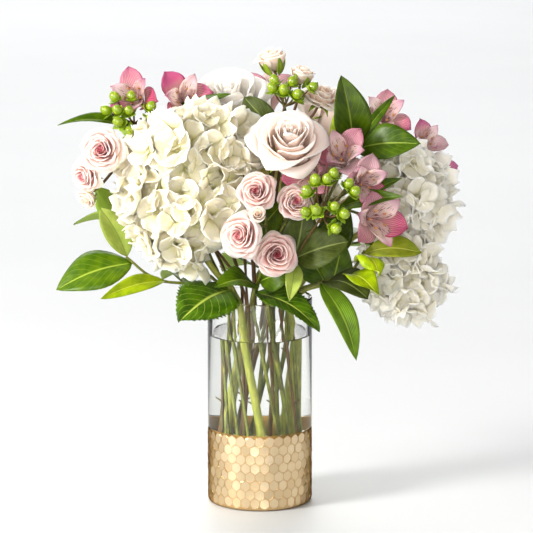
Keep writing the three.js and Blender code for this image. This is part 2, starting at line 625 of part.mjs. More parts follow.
const LILIES = [
  { name: 'alstroemeria_left_1', stem: 'alstroemeria_left_stem', at: [-122, 24, 398],
    facing: [-0.5, -0.5, 0.7], size: 30, branch: [[-94, 36, 360], [-110, 30, 380]] },
  { name: 'alstroemeria_left_2', stem: 'alstroemeria_left_stem', at: [-73, 28, 396],
    facing: [0.1, -0.6, 0.8], size: 29, branch: [[-94, 36, 360], [-80, 38, 374]] },
  { name: 'alstroemeria_centre_1', stem: 'alstroemeria_centre_stem', at: [80, -42, 342],
    facing: [0, -0.5, 0.85], size: 30, branch: [[62, -36, 298], [74, -35, 322]] },
  { name: 'alstroemeria_centre_2', stem: 'alstroemeria_centre_stem', at: [96, -60, 324],
    facing: [0.3, -0.85, 0.4], size: 28, branch: [[62, -36, 298], [82, -42, 310]] },
  { name: 'alstroemeria_centre_3', stem: 'alstroemeria_centre_stem', at: [107, -63, 290],
    facing: [0.7, -0.7, 0], size: 28, branch: [[62, -36, 298], [84, -46, 294]] },
  { name: 'alstroemeria_centre_4', stem: 'alstroemeria_centre_stem', at: [56, -47, 329],
    facing: [-0.3, -0.8, 0.4], size: 21, branch: [[62, -36, 298], [61, -38, 314]] },
  { name: 'alstroemeria_right_1', stem: 'alstroemeria_right_stem', at: [122, 34, 377],
    facing: [0, -0.4, 0.9], size: 30, branch: [[120, 62, 333], [124, 48, 354]] },
  { name: 'alstroemeria_right_2', stem: 'alstroemeria_right_stem', at: [166, 54, 350],
    facing: [0.6, -0.3, 0.6], size: 28, branch: [[120, 62, 333], [146, 62, 340]] },
  { name: 'alstroemeria_right_3', stem: 'alstroemeria_right_stem', at: [176, 62, 316],
    facing: [0.9, -0.1, 0], size: 26, branch: [[118, 62, 331], [150, 70, 324]] },
  { name: 'alstroemeria_back', stem: 'alstroemeria_back_stem', at: [10, 108, 379],
    facing: [0, 0.6, 0.75], size: 30, branch: [[12, 66, 348], [12, 90, 362]] },
];
const BUDS = [
  { stem: 'spray_rose_front_stem', at: [-2, -107, 298], facing: [0, -0.9, 0.4], size: 8,
    branch: [[6, -70, 282], [-2, -92, 290]] },
  { stem: 'spray_rose_left_stem', at: [-160, -32, 308], facing: [-0.6, -0.5, -0.5], size: 9,
    branch: [[-136, -4, 332], [-150, -18, 316]] },
  { stem: 'spray_rose_top_stem', at: [14, 12, 424], facing: [-0.35, 0, 0.95], size: 13,
    branch: [[28, 8, 368], [20, 12, 400]] },
  { stem: 'spray_rose_top_stem', at: [39, 5, 412], facing: [0.05, -0.1, 1], size: 11,
    branch: [[28, 8, 368], [36, 6, 392]] },
];
const SEAT = { rosette: 0.4, lily: 0.25, bud: 0 };

function growBranches(blooms, depth) {
  for (const { stem, at, facing, size, branch } of blooms) {
    const seat = point(at).addScaledVector(point(facing).normalize(), -depth * size);
    grow(stem, tube([...branch.map(point), seat], STEM.branch, STEM.branch * 0.8, 3));
  }
}
growBranches(SPRAY_BLOOMS, SEAT.rosette);
growBranches(LILIES, SEAT.lily);
growBranches(BUDS, SEAT.bud);

const ROSES = [
  { name: 'rose_front', stem: 'rose_front_stem', at: [29, -70, 356], facing: [0.04, -0.66, 0.75], size: 39 },
  { name: 'rose_top', stem: 'rose_top_stem', at: [-31, 50, 390], facing: [-0.1, -0.4, 0.9], size: 34 },
  { name: 'rose_back', stem: 'rose_back_stem', at: [75, 88, 368], facing: [0.35, 0.55, 0.75], size: 37 },
];
for (const rose of ROSES) growRose(rose);
for (const bloom of SPRAY_BLOOMS) growRosette(bloom.name, { ...bloom, rings: SPRAY_RINGS, petals: 5 });
for (const bud of BUDS) growRosette(bud.stem, { ...bud, rings: BUD_RINGS, petals: 4 });
for (const bloom of LILIES) growAlstroemeria(bloom);

growBerries('hypericum_left', { fork: [-118, 5, 365], at: [-127, -6, 383], radii: [20, 16, 8],
  count: 6, facing: [-0.2, -0.5, 0.85] });
growBerries('hypericum_top', { fork: [22, -14, 381], at: [28, -18, 404], radii: [20, 12, 8],
  count: 6, facing: [0.1, -0.4, 0.9] });
growBerries('hypericum_centre', { fork: [56, -80, 288], at: [66, -98, 308], radii: [24, 14, 8],
  count: 7, facing: [0.1, -0.8, 0.6] });
growBerries('hypericum_back', { fork: [-98, 84, 321], at: [-112, 96, 344], radii: [22, 18, 8],
  count: 5, facing: [-0.4, 0.4, 0.8] });

// Leaves: owner, root, tip, the way the face looks, and the blade's shape.
const BROAD = { arch: 8, fold: 0.25, stations: 5, wave: 1.5 };
const SERRATED = { arch: 8, fold: 0.2, stations: 8, teeth: 0.16, wave: 1.2 };
const NARROW = { arch: 6, fold: 0.35, stations: 4 };
const LEAVES = [
  ['greenery_left', [-122, -28, 240], [-194, -45, 217], [0.1, -0.5, 0.85], { ...BROAD, width: 42 }],
  ['greenery_left', [-127, -28, 246], [-154, -5, 288], [0.4, -0.8, 0.2], { ...BROAD, width: 26 }],
  ['greenery_left', [-90, -24, 222], [-151, -66, 212], [0, -0.6, 0.8], { ...NARROW, width: 16 }],
  ['greenery_left', [-70, -18, 217], [-96, 30, 214], [0, 0.3, 0.9], { ...BROAD, width: 26 }],
  ['hydrangea_left_stem', [-28, -28, 214], [-76, -86, 194], [-0.15, -0.75, 0.65], { ...SERRATED, width: 50 }],
  ['spray_rose_front_stem', [-4.5, -37.5, 213], [57, -82, 187], [0.2, -0.5, 0.85],
    { ...SERRATED, width: 36 }],
  ['spray_rose_front_stem', [-3, -41, 220], [-42, -78, 226], [0, -0.6, 0.8], { ...SERRATED, width: 30 }],
  ['spray_rose_front_stem', [0, -43, 225], [36, -62, 240], [0.1, -0.9, 0.3], { ...BROAD, width: 28 }],
  ['rose_front_stem', [17, -34, 272], [52, -26, 238], [0.2, -0.95, 0.2], { ...BROAD, width: 28 }],
  ['rose_front_stem', [21, -34, 298], [-6, -36, 264], [-0.1, -0.95, 0.2], { ...BROAD, width: 26 }],
  ['hydrangea_right_upper_stem', [60, 10, 238], [86, 8, 288], [0, -1, 0.1], { ...BROAD, width: 34 }],
  ['hydrangea_right_lower_stem', [70, -9, 216], [80, -26, 262], [0, -1, 0.2], { ...BROAD, width: 30 }],
  ['hydrangea_right_lower_stem', [64, -8, 216], [42, -9, 254], [0, -1, 0.1], { ...BROAD, width: 30 }],
  ['hypericum_left', [-116, 6, 364], [-190, -26, 378], [0, -0.5, 0.85], { ...NARROW, width: 14 }],
  ['alstroemeria_left_stem', [-98, 34, 365], [-27.7, 1.5, 399.5], [-0.3, -0.7, 0.6],
    { ...NARROW, width: 13 }],
  ['hypericum_top', [20, -14, 362], [-15, -12, 398], [-0.3, -0.9, 0.3], { ...BROAD, width: 22 }],
  ['greenery_top', [90, -19, 350], [82, -30, 422], [0, -0.9, 0.3], { ...BROAD, width: 30 }],
  ['greenery_top', [80, -15, 340], [72, -20, 384], [-0.3, -0.9, 0.2], { ...BROAD, width: 15 }],
  ['greenery_top', [91, -20, 351], [152, -44, 372], [0, -0.6, 0.8], { ...BROAD, width: 26 }],
  ['greenery_top', [88, -18, 348], [130, 4, 398], [0.2, -0.7, 0.6], { ...NARROW, width: 13 }],
  ['alstroemeria_centre_stem', [83, -45, 294], [133.8, -68.7, 328.1], [0, -0.7, 0.7],
    { ...NARROW, width: 14 }],
  ['alstroemeria_centre_stem', [75, -42, 296], [133.7, -86.5, 313.4], [0.1, -0.8, 0.5],
    { ...NARROW, width: 16 }],
  ['greenery_right', [98, -50, 253], [153, -62, 256], [0.1, -0.7, 0.7], { ...BROAD, width: 24 }],
  ['greenery_right', [94, -52, 248], [112, -88, 240], [0.5, -0.6, 0.6], { ...BROAD, width: 22 }],
  ['greenery_right', [80, -52, 234], [112, -86, 219], [0.2, -0.6, 0.8], { ...BROAD, width: 24 }],
  ['greenery_right', [62, -48, 226], [102, -86, 216], [0.1, -0.5, 0.85], { ...BROAD, width: 34 }],
  ['greenery_right', [58, -46, 224], [92, -64, 152], [0.5, -0.85, 0.1], { ...NARROW, width: 24, arch: 12 }],
  ['hypericum_centre', [30, -52, 240], [42.3, -62.8, 302.3], [0.2, -0.95, 0.1], { ...BROAD, width: 36 }],
  ['hypericum_centre', [34, -58, 250], [84, -70, 268], [0, -0.9, 0.4], { ...BROAD, width: 36 }],
  ['hypericum_centre', [33, -56, 246], [27.2, -83.7, 212.5], [0.2, -0.9, 0.3], { ...NARROW, width: 16 }],
  ['greenery_back_left', [-124, 50, 260], [-184, 66, 262], [-0.1, 0.3, 0.9], { ...BROAD, width: 32 }],
  ['greenery_back_left', [-110, 45, 250], [-150, 100, 246], [0, 0.4, 0.9], { ...BROAD, width: 32 }],
  ['greenery_back_left', [-84, 36, 239], [-98, 112, 226], [0, 0.5, 0.85], { ...BROAD, width: 36 }],
  ['greenery_back_left', [-126, 51, 261], [-158, 30, 304], [-0.7, 0.3, 0.5], { ...BROAD, width: 26 }],
  ['greenery_back_right', [108, 82, 254], [160, 112, 262], [0.1, 0.3, 0.9], { ...BROAD, width: 32 }],
  ['greenery_back_right', [96, 76, 248], [112, 140, 236], [0.1, 0.6, 0.8], { ...BROAD, width: 34 }],
  ['greenery_back_right', [80, 68, 240], [148, 60, 222], [0.2, 0, 0.95], { ...BROAD, width: 30 }],
  ['hydrangea_back_stem', [4, 44, 220], [-38, 116, 206], [0, 0.5, 0.85], { ...SERRATED, width: 44 }],
  ['hydrangea_back_stem', [5, 46, 222], [62, 124, 210], [0, 0.5, 0.85], { ...SERRATED, width: 44 }],
];
for (const [owner, root, tip, facing, shape] of LEAVES) {
  growLeaf(owner, point(root), point(tip), point(facing).normalize(), shape);
}

const MOPHEADS = [
  { name: 'hydrangea_left', at: [-65, -28, 315], radii: [68, 58, 82], count: 46 },
  { name: 'hydrangea_right_upper', at: [137, 5, 300], radii: [46, 47, 50], count: 27 },
  { name: 'hydrangea_right_lower', at: [138, -12, 219], radii: [42, 42, 36], count: 19 },
  { name: 'hydrangea_back', at: [20, 96, 298], radii: [62, 54, 54], count: 30 },
].map((head) => ({ ...head, stem: `${head.name}_stem` }));
for (const head of MOPHEADS) growMophead(head);

// ---------------------------------------------------------------- the group

const group = new THREE.Group();

function show(name, solid, { colour, roughness = 0.6, metalness = 0, opacity = 1 }) {
  const { vertProperties, triVerts } = solid.getMesh();
  const geometry = new THREE.BufferGeometry();
  geometry.setAttribute('position', new THREE.BufferAttribute(vertProperties, 3));
  geometry.setIndex(new THREE.BufferAttribute(triVerts, 1));
  const material = new THREE.MeshStandardMaterial({ color: colour, roughness, metalness,
    opacity, transparent: opacity < 1 });
  const mesh = new THREE.Mesh(geometry, material);
  mesh.name = name;
  group.add(mesh);
}

const COLOUR_OF = {
  hydrangea_left: COLOUR.cream, hydrangea_back: COLOUR.cream, hydrangea_right_upper: COLOUR.white,
  hydrangea_right_lower: COLOUR.white, rose_front: COLOUR.blush, rose_top: COLOUR.white,
  rose_back: COLOUR.blush, greenery_top: COLOUR.leaf, greenery_right: COLOUR.leaf,
  greenery_left: COLOUR.leaf, greenery_back_left: COLOUR.leaf, greenery_back_right: COLOUR.leaf,
};
for (const { name } of SPRAY_BLOOMS) COLOUR_OF[name] = COLOUR.pink;
for (const { name } of LILIES) COLOUR_OF[name] = COLOUR.alstroemeria;
for (const side of ['left', 'top', 'centre', 'back']) COLOUR_OF[`hypericum_${side}`] = COLOUR.berry;

const stemOf = new Map([...ROSES, ...SPRAY_BLOOMS, ...LILIES, ...MOPHEADS].map((b) => [b.name, b.stem]));
const grown = new Map();
for (const { owner, solid } of placed) grown.set(owner, [...(grown.get(owner) ?? []), solid]);

// A bloom with a plain socket round its own stem's end.
function socketed(name, solid) {
  const box = solid.boundingBox();
  return placed.filter((part) => part.owner === stemOf.get(name) && nearTo(box, part.box))
    .reduce((rest, { geometry }) => rest.subtract(solidOf(padded(geometry, GAP + 0.05))), solid);
}

show('vase_glass', solidOf(vaseGlass()), { colour: COLOUR.glass, roughness: 0.02, opacity: 0.35 });
show('vase_gold_base', solidOf(goldCup()), { colour: COLOUR.gold, roughness: 0.25, metalness: 1 });
show('water', water(), { colour: COLOUR.water, roughness: 0.02, opacity: 0.35 });
for (const [name, solids] of grown) {
  show(name, socketed(name, wasm.Manifold.union(solids)), { colour: COLOUR_OF[name] ?? COLOUR.stem });
}

export default group;
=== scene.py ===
# %% [markdown]
# # A floral centerpiece
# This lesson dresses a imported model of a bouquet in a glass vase. The frame holds every solid at
# its real size. Each cell takes one kind of flower, leaf or glass, says what the real one is like,
# and models it over the solid that it stands for.

# %% Load the frame
import math
import random
import bpy
import bmesh
from mathutils import Vector, Matrix, Quaternion


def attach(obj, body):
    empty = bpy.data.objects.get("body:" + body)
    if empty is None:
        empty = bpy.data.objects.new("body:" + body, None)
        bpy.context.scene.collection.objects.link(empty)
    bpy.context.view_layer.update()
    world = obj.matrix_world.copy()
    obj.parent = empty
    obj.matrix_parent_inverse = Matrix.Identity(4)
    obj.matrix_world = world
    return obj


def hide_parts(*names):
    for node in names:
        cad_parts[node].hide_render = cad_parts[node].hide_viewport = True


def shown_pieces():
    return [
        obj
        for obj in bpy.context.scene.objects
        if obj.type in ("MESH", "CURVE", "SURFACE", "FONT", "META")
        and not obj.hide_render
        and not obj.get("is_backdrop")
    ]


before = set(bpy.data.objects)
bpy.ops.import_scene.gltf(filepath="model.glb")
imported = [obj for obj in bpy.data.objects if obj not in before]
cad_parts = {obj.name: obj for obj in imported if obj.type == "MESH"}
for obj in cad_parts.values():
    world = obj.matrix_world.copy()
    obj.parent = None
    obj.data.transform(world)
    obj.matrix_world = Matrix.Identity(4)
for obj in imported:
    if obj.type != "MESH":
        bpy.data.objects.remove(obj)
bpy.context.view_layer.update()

MM = 0.001
UP = Vector((0, 0, 1))
GOLDEN_ANGLE = math.pi * (3 - math.sqrt(5))
PHOTO = 533

# %% [markdown]
# The picture was taken from almost three metres away through a long lens, looking ten degrees
# down. A far camera keeps the vase's sides parallel, so the lens is long here as well.

# %% Camera
CAMERA = {"target": (0.0065, 0, 0.2316), "distance": 2.912, "pitch": 10.07, "focal_px": 3010}
pitch = math.radians(CAMERA["pitch"])
target = Vector(CAMERA["target"])
bpy.ops.object.camera_add(location=target + CAMERA["distance"] * Vector((0, -math.cos(pitch), math.sin(pitch))))
camera = bpy.context.object
camera.rotation_euler = (math.pi / 2 - pitch, 0, 0)
camera.data.sensor_width = 36
camera.data.lens = CAMERA["focal_px"] / PHOTO * 36
camera.data.clip_end = 50
bpy.context.scene.camera = camera
print("camera", tuple(round(c, 3) for c in camera.location))

# %% [markdown]
# The bouquet stands on a pale seamless table in soft daylight. One large light from the left
# gives the shadows their direction, a weaker one fills the right, and a pale sky does the rest.
# The sky is dark far out to both sides, as a studio is, because polished gold and clear glass
# only show their edges where something dark is mirrored in them.

# %% Floor and light
def node_material(name, roughness=0.5, specular=0.5):
    mat = bpy.data.materials.new(name)
    mat.use_nodes = True
    shader = mat.node_tree.nodes["Principled BSDF"]
    shader.inputs["Roughness"].default_value = roughness
    shader.inputs["Specular IOR Level"].default_value = specular
    return mat, mat.node_tree, shader


def add_node(tree, kind, place=(0, 0), **settings):
    node = tree.nodes.new(kind)
    node.location = place
    for key, value in settings.items():
        setattr(node, key, value)
    return node


def light(name, place, size, power, colour):
    bpy.ops.object.light_add(type="AREA", location=place)
    lamp = bpy.context.object
    lamp.name = name
    lamp.data.size = size
    lamp.data.energy = power
    lamp.data.color = colour
    lamp.rotation_euler = (Vector((0, 0, 0.25)) - Vector(place)).to_track_quat("-Z", "Y").to_euler()


bpy.ops.object.select_all(action="DESELECT")
bpy.ops.mesh.primitive_plane_add(size=14, location=(0, 4, 0))
floor = bpy.context.object
floor.name = "floor"
floor_mat, floor_tree, floor_shader = node_material("pale_table", roughness=0.55, specular=0.2)
grain = add_node(floor_tree, "ShaderNodeTexNoise", (-500, 0))
grain.inputs["Scale"].default_value = 3
ramp = add_node(floor_tree, "ShaderNodeValToRGB", (-280, 0))
ramp.color_ramp.elements[0].color = (0.55, 0.56, 0.57, 1)
ramp.color_ramp.elements[1].color = (0.58, 0.59, 0.6, 1)
where = add_node(floor_tree, "ShaderNodeTexCoord", (-700, 0))
floor_tree.links.new(where.outputs["Object"], grain.inputs["Vector"])
floor_tree.links.new(grain.outputs["Fac"], ramp.inputs["Fac"])
floor_tree.links.new(ramp.outputs["Color"], floor_shader.inputs["Base Color"])
floor.data.materials.append(floor_mat)
floor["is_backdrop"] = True

light("window_left", (-1.5, -0.9, 1.0), 0.5, 55, (1, 0.985, 0.95))
light("window_front", (-0.1, -3.3, 0.7), 2.2, 78, (1, 0.98, 0.955))
light("fill_right", (2.4, -0.9, 1.3), 2.0, 15, (1, 0.99, 0.97))
light("sky_back", (0.2, 2.2, 2.4), 2.4, 22, (1, 1, 1))
light("far_wall", (-0.6, 5.6, 3.2), 5, 262, (1, 1, 1))
world = bpy.data.worlds.new("soft_sky")
world.use_nodes = True
backing = world.node_tree.nodes["Background"]
direction = add_node(world.node_tree, "ShaderNodeTexCoord", (-900, 0))
axes = add_node(world.node_tree, "ShaderNodeSeparateXYZ", (-700, 0))
sideways = add_node(world.node_tree, "ShaderNodeMapRange", (-500, 0))
sideways.inputs["From Min"].default_value = -1
sky_ramp = add_node(world.node_tree, "ShaderNodeValToRGB", (-300, 0))
stops = sky_ramp.color_ramp.elements
stops[0].color = (0.75, 0.72, 0.68, 1)
stops[1].color = (0.07, 0.06, 0.05, 1)
for position, shade in ((0.1, 1.0), (0.3, 0.95), (0.5, 0.5), (0.75, 0.2)):
    stops.new(position).color = (shade, shade * 0.99, shade * 0.97, 1)
world.node_tree.links.new(direction.outputs["Generated"], axes.inputs[0])
world.node_tree.links.new(axes.outputs["X"], sideways.inputs["Value"])
world.node_tree.links.new(sideways.outputs[0], sky_ramp.inputs["Fac"])
world.node_tree.links.new(sky_ramp.outputs["Color"], backing.inputs["Color"])
backing.inputs["Strength"].default_value = 0.75
bpy.context.scene.world = world
bpy.context.scene.view_settings.view_transform = "Standard"

# %% [markdown]
# Petals, leaves and sepals are all thin sheets with a rounded outline. By hand one adds a grid,
# pulls its rows into the outline, cups it, and gives it thickness with Solidify. Every sheet here
# is made that way: a grid is added, its points are moved by a small formula, doubles at its ends
# are merged, and the modifiers are applied. Its UV map keeps running across (U) and along (V) the
# sheet, so that the finishes can draw veins and edges that follow it.

# %% Helpers for sheets, stems and copies
def add_sheet(columns, rows, formula, thickness, smooth=0, faces=()):
    """A sheet from formula(across -1..1, along 0..1) -> place in millimetres. It may have one
    finish on its face and another underneath."""
    bpy.ops.object.select_all(action="DESELECT")
    bpy.ops.mesh.primitive_grid_add(x_subdivisions=columns, y_subdivisions=rows, size=1)
    sheet = bpy.context.object
    for point in sheet.data.vertices:
        point.co = Vector(formula(point.co.x * 2, point.co.y + 0.5)) * MM
    bpy.ops.object.mode_set(mode="EDIT")
    bpy.ops.mesh.select_all(action="SELECT")
    bpy.ops.mesh.remove_doubles(threshold=0.00002)
    bpy.ops.object.mode_set(mode="OBJECT")
    wall = sheet.modifiers.new("wall", "SOLIDIFY")
    wall.thickness = thickness * MM
    wall.offset = 0
    for mat in faces:
        sheet.data.materials.append(mat)
    wall.material_offset = len(faces) - 1 if faces else 0
    bpy.ops.object.modifier_apply(modifier="wall")
    if smooth:
        soft = sheet.modifiers.new("soft", "SUBSURF")
        soft.levels = soft.render_levels = smooth
        bpy.ops.object.modifier_apply(modifier="soft")
    bpy.ops.object.shade_smooth()
    return sheet


def copy_of(pattern, matrix, tint=0.5):
    """A copy with its own mesh, placed, with a number kept in it for its colour: mostly a random tone, and painted
    shade on sunken hydrangea florets and cores.
    """
    twin = bpy.data.objects.new(pattern.name, pattern.data.copy())
    bpy.context.collection.objects.link(twin)
    twin.data.transform(matrix)
    layer = twin.data.attributes.new("tint", "FLOAT", "POINT")
    layer.data.foreach_set("value", [tint] * len(twin.data.vertices))
    return twin


def join_as(name, parts, node, mat):
    """Joins the parts into the finished piece that stands for a node of the frame."""
    bpy.ops.object.select_all(action="DESELECT")
    for part in parts:
        part.select_set(True)
    bpy.context.view_layer.objects.active = parts[0]
    if len(parts) > 1:
        bpy.ops.object.join()
    piece = bpy.context.object
    bpy.ops.object.transform_apply(location=True, rotation=True, scale=True)
    piece.name = name
    if mat is not None:
        piece.data.materials.clear()
        piece.data.materials.append(mat)
    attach(piece, "root")
    if node:
        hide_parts(node)
    return piece


def remove(*patterns):
    for pattern in patterns:
        bpy.data.objects.remove(pattern, do_unlink=True)


def facing(place, direction, spin=0, scale=1):
    """The matrix that stands a shape which opens towards +Z at a place in millimetres."""
    turn = UP.rotation_difference(Vector(direction).normalized()).to_matrix().to_4x4()
    return (Matrix.Translation(Vector(place) * MM) @ turn @ Matrix.Rotation(spin, 4, "Z")
            @ Matrix.Scale(scale, 4))


def smooth_path(points, spans):
    """Points along a centripetal curve through given ones."""
    pts = [Vector(p) for p in points]
    pts = [2 * pts[0] - pts[1], *pts, 2 * pts[-1] - pts[-2]]
    out = []
    for i in range(spans + 1):
        spot = i / spans * (len(pts) - 3)
        k = min(int(spot), len(pts) - 4)
        a, b, c, d = pts[k:k + 4]
        t0, t1 = 0, max((b - a).length, 1e-6) ** 0.5
        t2 = t1 + (c - b).length ** 0.5
        t3 = t2 + (d - c).length ** 0.5
        t = t1 + (t2 - t1) * (spot - k)
        ab, bc, cd = a.lerp(b, (t - t0) / (t1 - t0)), b.lerp(c, (t - t1) / (t2 - t1)), c.lerp(d, (t - t2) / (t3 - t2))
        abc, bcd = ab.lerp(bc, (t - t0) / (t2 - t0)), bc.lerp(cd, (t - t1) / (t3 - t1))
        out.append(abc.lerp(bcd, (t - t1) / (t2 - t1)))
    return out


def add_stem(points, first, last, sides=3, knots=()):
    """A round stem along points in millimetres, thicker at the knots."""
    bpy.ops.object.select_all(action="DESELECT")
    bpy.ops.curve.primitive_bezier_curve_add(location=(0, 0, 0))
    stem = bpy.context.object
    curve = stem.data
    curve.splines.clear()
    line = curve.splines.new("POLY")
    line.points.add(len(points) - 1)
    for i, point in enumerate(points):
        part = i / (len(points) - 1)
        line.points[i].co = (*(Vector(point) * MM), 1)
        line.points[i].radius = (first + (last - first) * part) * (1.35 if i in knots else 1)
    curve.dimensions = "3D"
    curve.bevel_depth = MM
    curve.bevel_resolution = sides
    curve.use_fill_caps = True
    bpy.ops.object.convert(target="MESH")
    bpy.ops.object.shade_smooth()
    return bpy.context.object


print("helpers ready")

# %% [markdown]
# Finishes that several parts share are node groups. Every petal here shows the same things: a
# tinted root, a paler body, a lip of its own colour, faint veins that fan out, and a small
# difference from its neighbours. On the hydrangeas the white lip is also a painted highlight along
# the rim, and the difference carries painted shade on sunken florets. One group draws them all
# from the sheet's UV map, and each flower's material sets its own colours.

# %% Shared petal finish
def shader_group(name, inputs, outputs):
    group = bpy.data.node_groups.new(name, "ShaderNodeTree")
    for label, kind, value in inputs:
        socket = group.interface.new_socket(name=label, in_out="INPUT", socket_type=kind)
        socket.default_value = value
    for label, kind in outputs:
        group.interface.new_socket(name=label, in_out="OUTPUT", socket_type=kind)
    return group, add_node(group, "NodeGroupInput", (-1400, 0)), add_node(group, "NodeGroupOutput", (900, 0))


def wire(tree, source, target):
    tree.links.new(source, target)


def maths(tree, operation, first, second=None, place=(0, 0), clamp=False):
    """A Math node; each input is a number or an output of another node."""
    node = add_node(tree, "ShaderNodeMath", place, operation=operation, use_clamp=clamp)
    for socket, value in zip(node.inputs, (first, second)):
        if isinstance(value, (int, float)):
            socket.default_value = value
        elif value is not None:
            wire(tree, value, socket)
    return node.outputs[0]


def ease(tree, value, low, high, place=(0, 0)):
    """Rises smoothly from 0 to 1 while the value goes from low to high."""
    node = add_node(tree, "ShaderNodeMapRange", place, interpolation_type="SMOOTHSTEP")
    node.inputs["From Min"].default_value = low
    node.inputs["From Max"].default_value = high
    wire(tree, value, node.inputs["Value"])
    return node.outputs["Result"]


def blend_colour(tree, factor, first, second, place=(0, 0), kind="MIX"):
    node = add_node(tree, "ShaderNodeMix", place, data_type="RGBA", blend_type=kind)
    for socket, value in ((node.inputs[0], factor), (node.inputs[6], first), (node.inputs[7], second)):
        if isinstance(value, bpy.types.NodeSocket):
            wire(tree, value, socket)
        else:
            socket.default_value = value if isinstance(value, (int, float)) else (*value, 1)
    return node.outputs[2]


COLOUR, FLOAT = "NodeSocketColor", "NodeSocketFloat"
petal_finish, given, made = shader_group("petal_finish", [
    ("Root", COLOUR, (1, 1, 0.8, 1)), ("Body", COLOUR, (1, 1, 1, 1)), ("Lip", COLOUR, (1, 1, 1, 1)),
    ("Root Reach", FLOAT, 0.4), ("Lip Width", FLOAT, 0.1), ("Veins", FLOAT, 0.1),
    ("Spread", FLOAT, 0.1)], [("Color", COLOUR), ("Height", FLOAT)])
tree = petal_finish
uv = add_node(tree, "ShaderNodeUVMap", (-1400, 300), uv_map="UVMap")
split = add_node(tree, "ShaderNodeSeparateXYZ", (-1200, 300))
wire(tree, uv.outputs[0], split.inputs[0])
across = maths(tree, "ABSOLUTE", maths(tree, "MULTIPLY_ADD", split.outputs[0], 2), place=(-900, 400))
across.node.inputs[0].links[0].from_node.inputs[2].default_value = -1
along = split.outputs[1]
root = maths(tree, "DIVIDE", along, given.outputs["Root Reach"], (-900, 200), clamp=True)
body = blend_colour(tree, maths(tree, "POWER", root, 0.8, (-700, 200)), given.outputs["Root"],
                    given.outputs["Body"], (-500, 200))
edge = maths(tree, "MAXIMUM", maths(tree, "POWER", across, 2.0), along, (-700, 0))
rim = maths(tree, "DIVIDE", maths(tree, "SUBTRACT", 1.0, edge), given.outputs["Lip Width"], (-500, 0), clamp=True)
tinted = blend_colour(tree, rim, given.outputs["Lip"], body, (-300, 100))
fan = add_node(tree, "ShaderNodeTexWave", (-900, -300), wave_type="BANDS", bands_direction="X")
fan.inputs["Scale"].default_value = 4.2
fan.inputs["Distortion"].default_value = 1.4
fan.inputs["Detail Scale"].default_value = 1.5
wire(tree, uv.outputs[0], fan.inputs["Vector"])
thin = ease(tree, fan.outputs["Fac"], 0.55, 1.0, (-700, -300))
veined = blend_colour(tree, maths(tree, "MULTIPLY", thin, given.outputs["Veins"], (-500, -300)), tinted,
                      given.outputs["Root"], (-100, 100))
own = add_node(tree, "ShaderNodeAttribute", (-900, -500), attribute_name="tint")
shift = maths(tree, "MULTIPLY", maths(tree, "SUBTRACT", own.outputs["Fac"], 0.5), given.outputs["Spread"], (-500, -500))
light_and_dark = add_node(tree, "ShaderNodeHueSaturation", (150, 100))
wire(tree, veined, light_and_dark.inputs["Color"])
wire(tree, maths(tree, "ADD", 1.0, shift, (-100, -500)), light_and_dark.inputs["Value"])
wire(tree, maths(tree, "SUBTRACT", 1.0, maths(tree, "MULTIPLY", shift, 2.5), (-100, -650)), light_and_dark.inputs["Saturation"])
wire(tree, light_and_dark.outputs[0], made.inputs["Color"])
wire(tree, thin, made.inputs["Height"])


def petal_material(name, root, body, lip, reach=0.4, lip_width=0.1, veins=0.1, spread=0.1, bump=0.1,
                   roughness=0.55, sheen=0.05, glow=0.5):
    """One flower's petals: the shared finish with this flower's colours."""
    mat, tree, shader = node_material(name, roughness, 0.3)
    shader.inputs["Sheen Weight"].default_value = sheen
    shader.inputs["Subsurface Weight"].default_value = glow
    shader.inputs["Subsurface Radius"].default_value = (1, 0.85, 0.6)
    shader.inputs["Subsurface Scale"].default_value = 0.02
    finish = add_node(tree, "ShaderNodeGroup", (-600, 200), node_tree=petal_finish)
    for label, value in (("Root", root), ("Body", body), ("Lip", lip)):
        finish.inputs[label].default_value = (*value, 1)
    for label, value in (("Root Reach", reach), ("Lip Width", lip_width), ("Veins", veins), ("Spread", spread)):
        finish.inputs[label].default_value = value
    relief = add_node(tree, "ShaderNodeBump", (-300, -200))
    relief.inputs["Strength"].default_value = bump
    relief.inputs["Distance"].default_value = 0.0004
    wire(tree, finish.outputs["Color"], shader.inputs["Base Color"])
    wire(tree, finish.outputs["Height"], relief.inputs["Height"])
    wire(tree, relief.outputs[0], shader.inputs["Normal"])
    return mat


print("petal finish with", len(petal_finish.nodes), "nodes")

# %% [markdown]
# Leaves share a second group. It draws the pale midrib, side veins that slant from it towards the
# tip, or long parallel ones on a strap leaf, and a soft mottle between them. The same veins raise
# the surface through a bump.

# %% Shared leaf finish
leaf_finish, given, made = shader_group("leaf_finish", [
    ("Blade", COLOUR, (0.05, 0.15, 0.02, 1)), ("Dark", COLOUR, (0.02, 0.07, 0.01, 1)),
    ("Vein", COLOUR, (0.2, 0.35, 0.1, 1)), ("Side Veins", FLOAT, 9.0), ("Slant", FLOAT, 3.0),
    ("Vein Strength", FLOAT, 0.5), ("Straight", FLOAT, 0.0)], [("Color", COLOUR), ("Height", FLOAT)])
tree = leaf_finish
uv = add_node(tree, "ShaderNodeUVMap", (-1400, 300), uv_map="UVMap")
split = add_node(tree, "ShaderNodeSeparateXYZ", (-1200, 300))
wire(tree, uv.outputs[0], split.inputs[0])
centred = maths(tree, "MULTIPLY_ADD", split.outputs[0], 2, (-1050, 400))
centred.node.inputs[2].default_value = -1
across = maths(tree, "ABSOLUTE", centred, place=(-900, 400))
midrib = maths(tree, "SUBTRACT", 1.0, ease(tree, across, 0.015, 0.07, (-700, 400)), (-500, 400))
slanted = maths(tree, "MULTIPLY", maths(tree, "SUBTRACT", split.outputs[1], maths(tree, "MULTIPLY", across,
                maths(tree, "DIVIDE", 1.0, given.outputs["Slant"]))), given.outputs["Side Veins"], (-900, 100))
wave = maths(tree, "ABSOLUTE", maths(tree, "SUBTRACT", maths(tree, "FRACT", slanted), 0.5, (-700, 100)), place=(-600, 100))
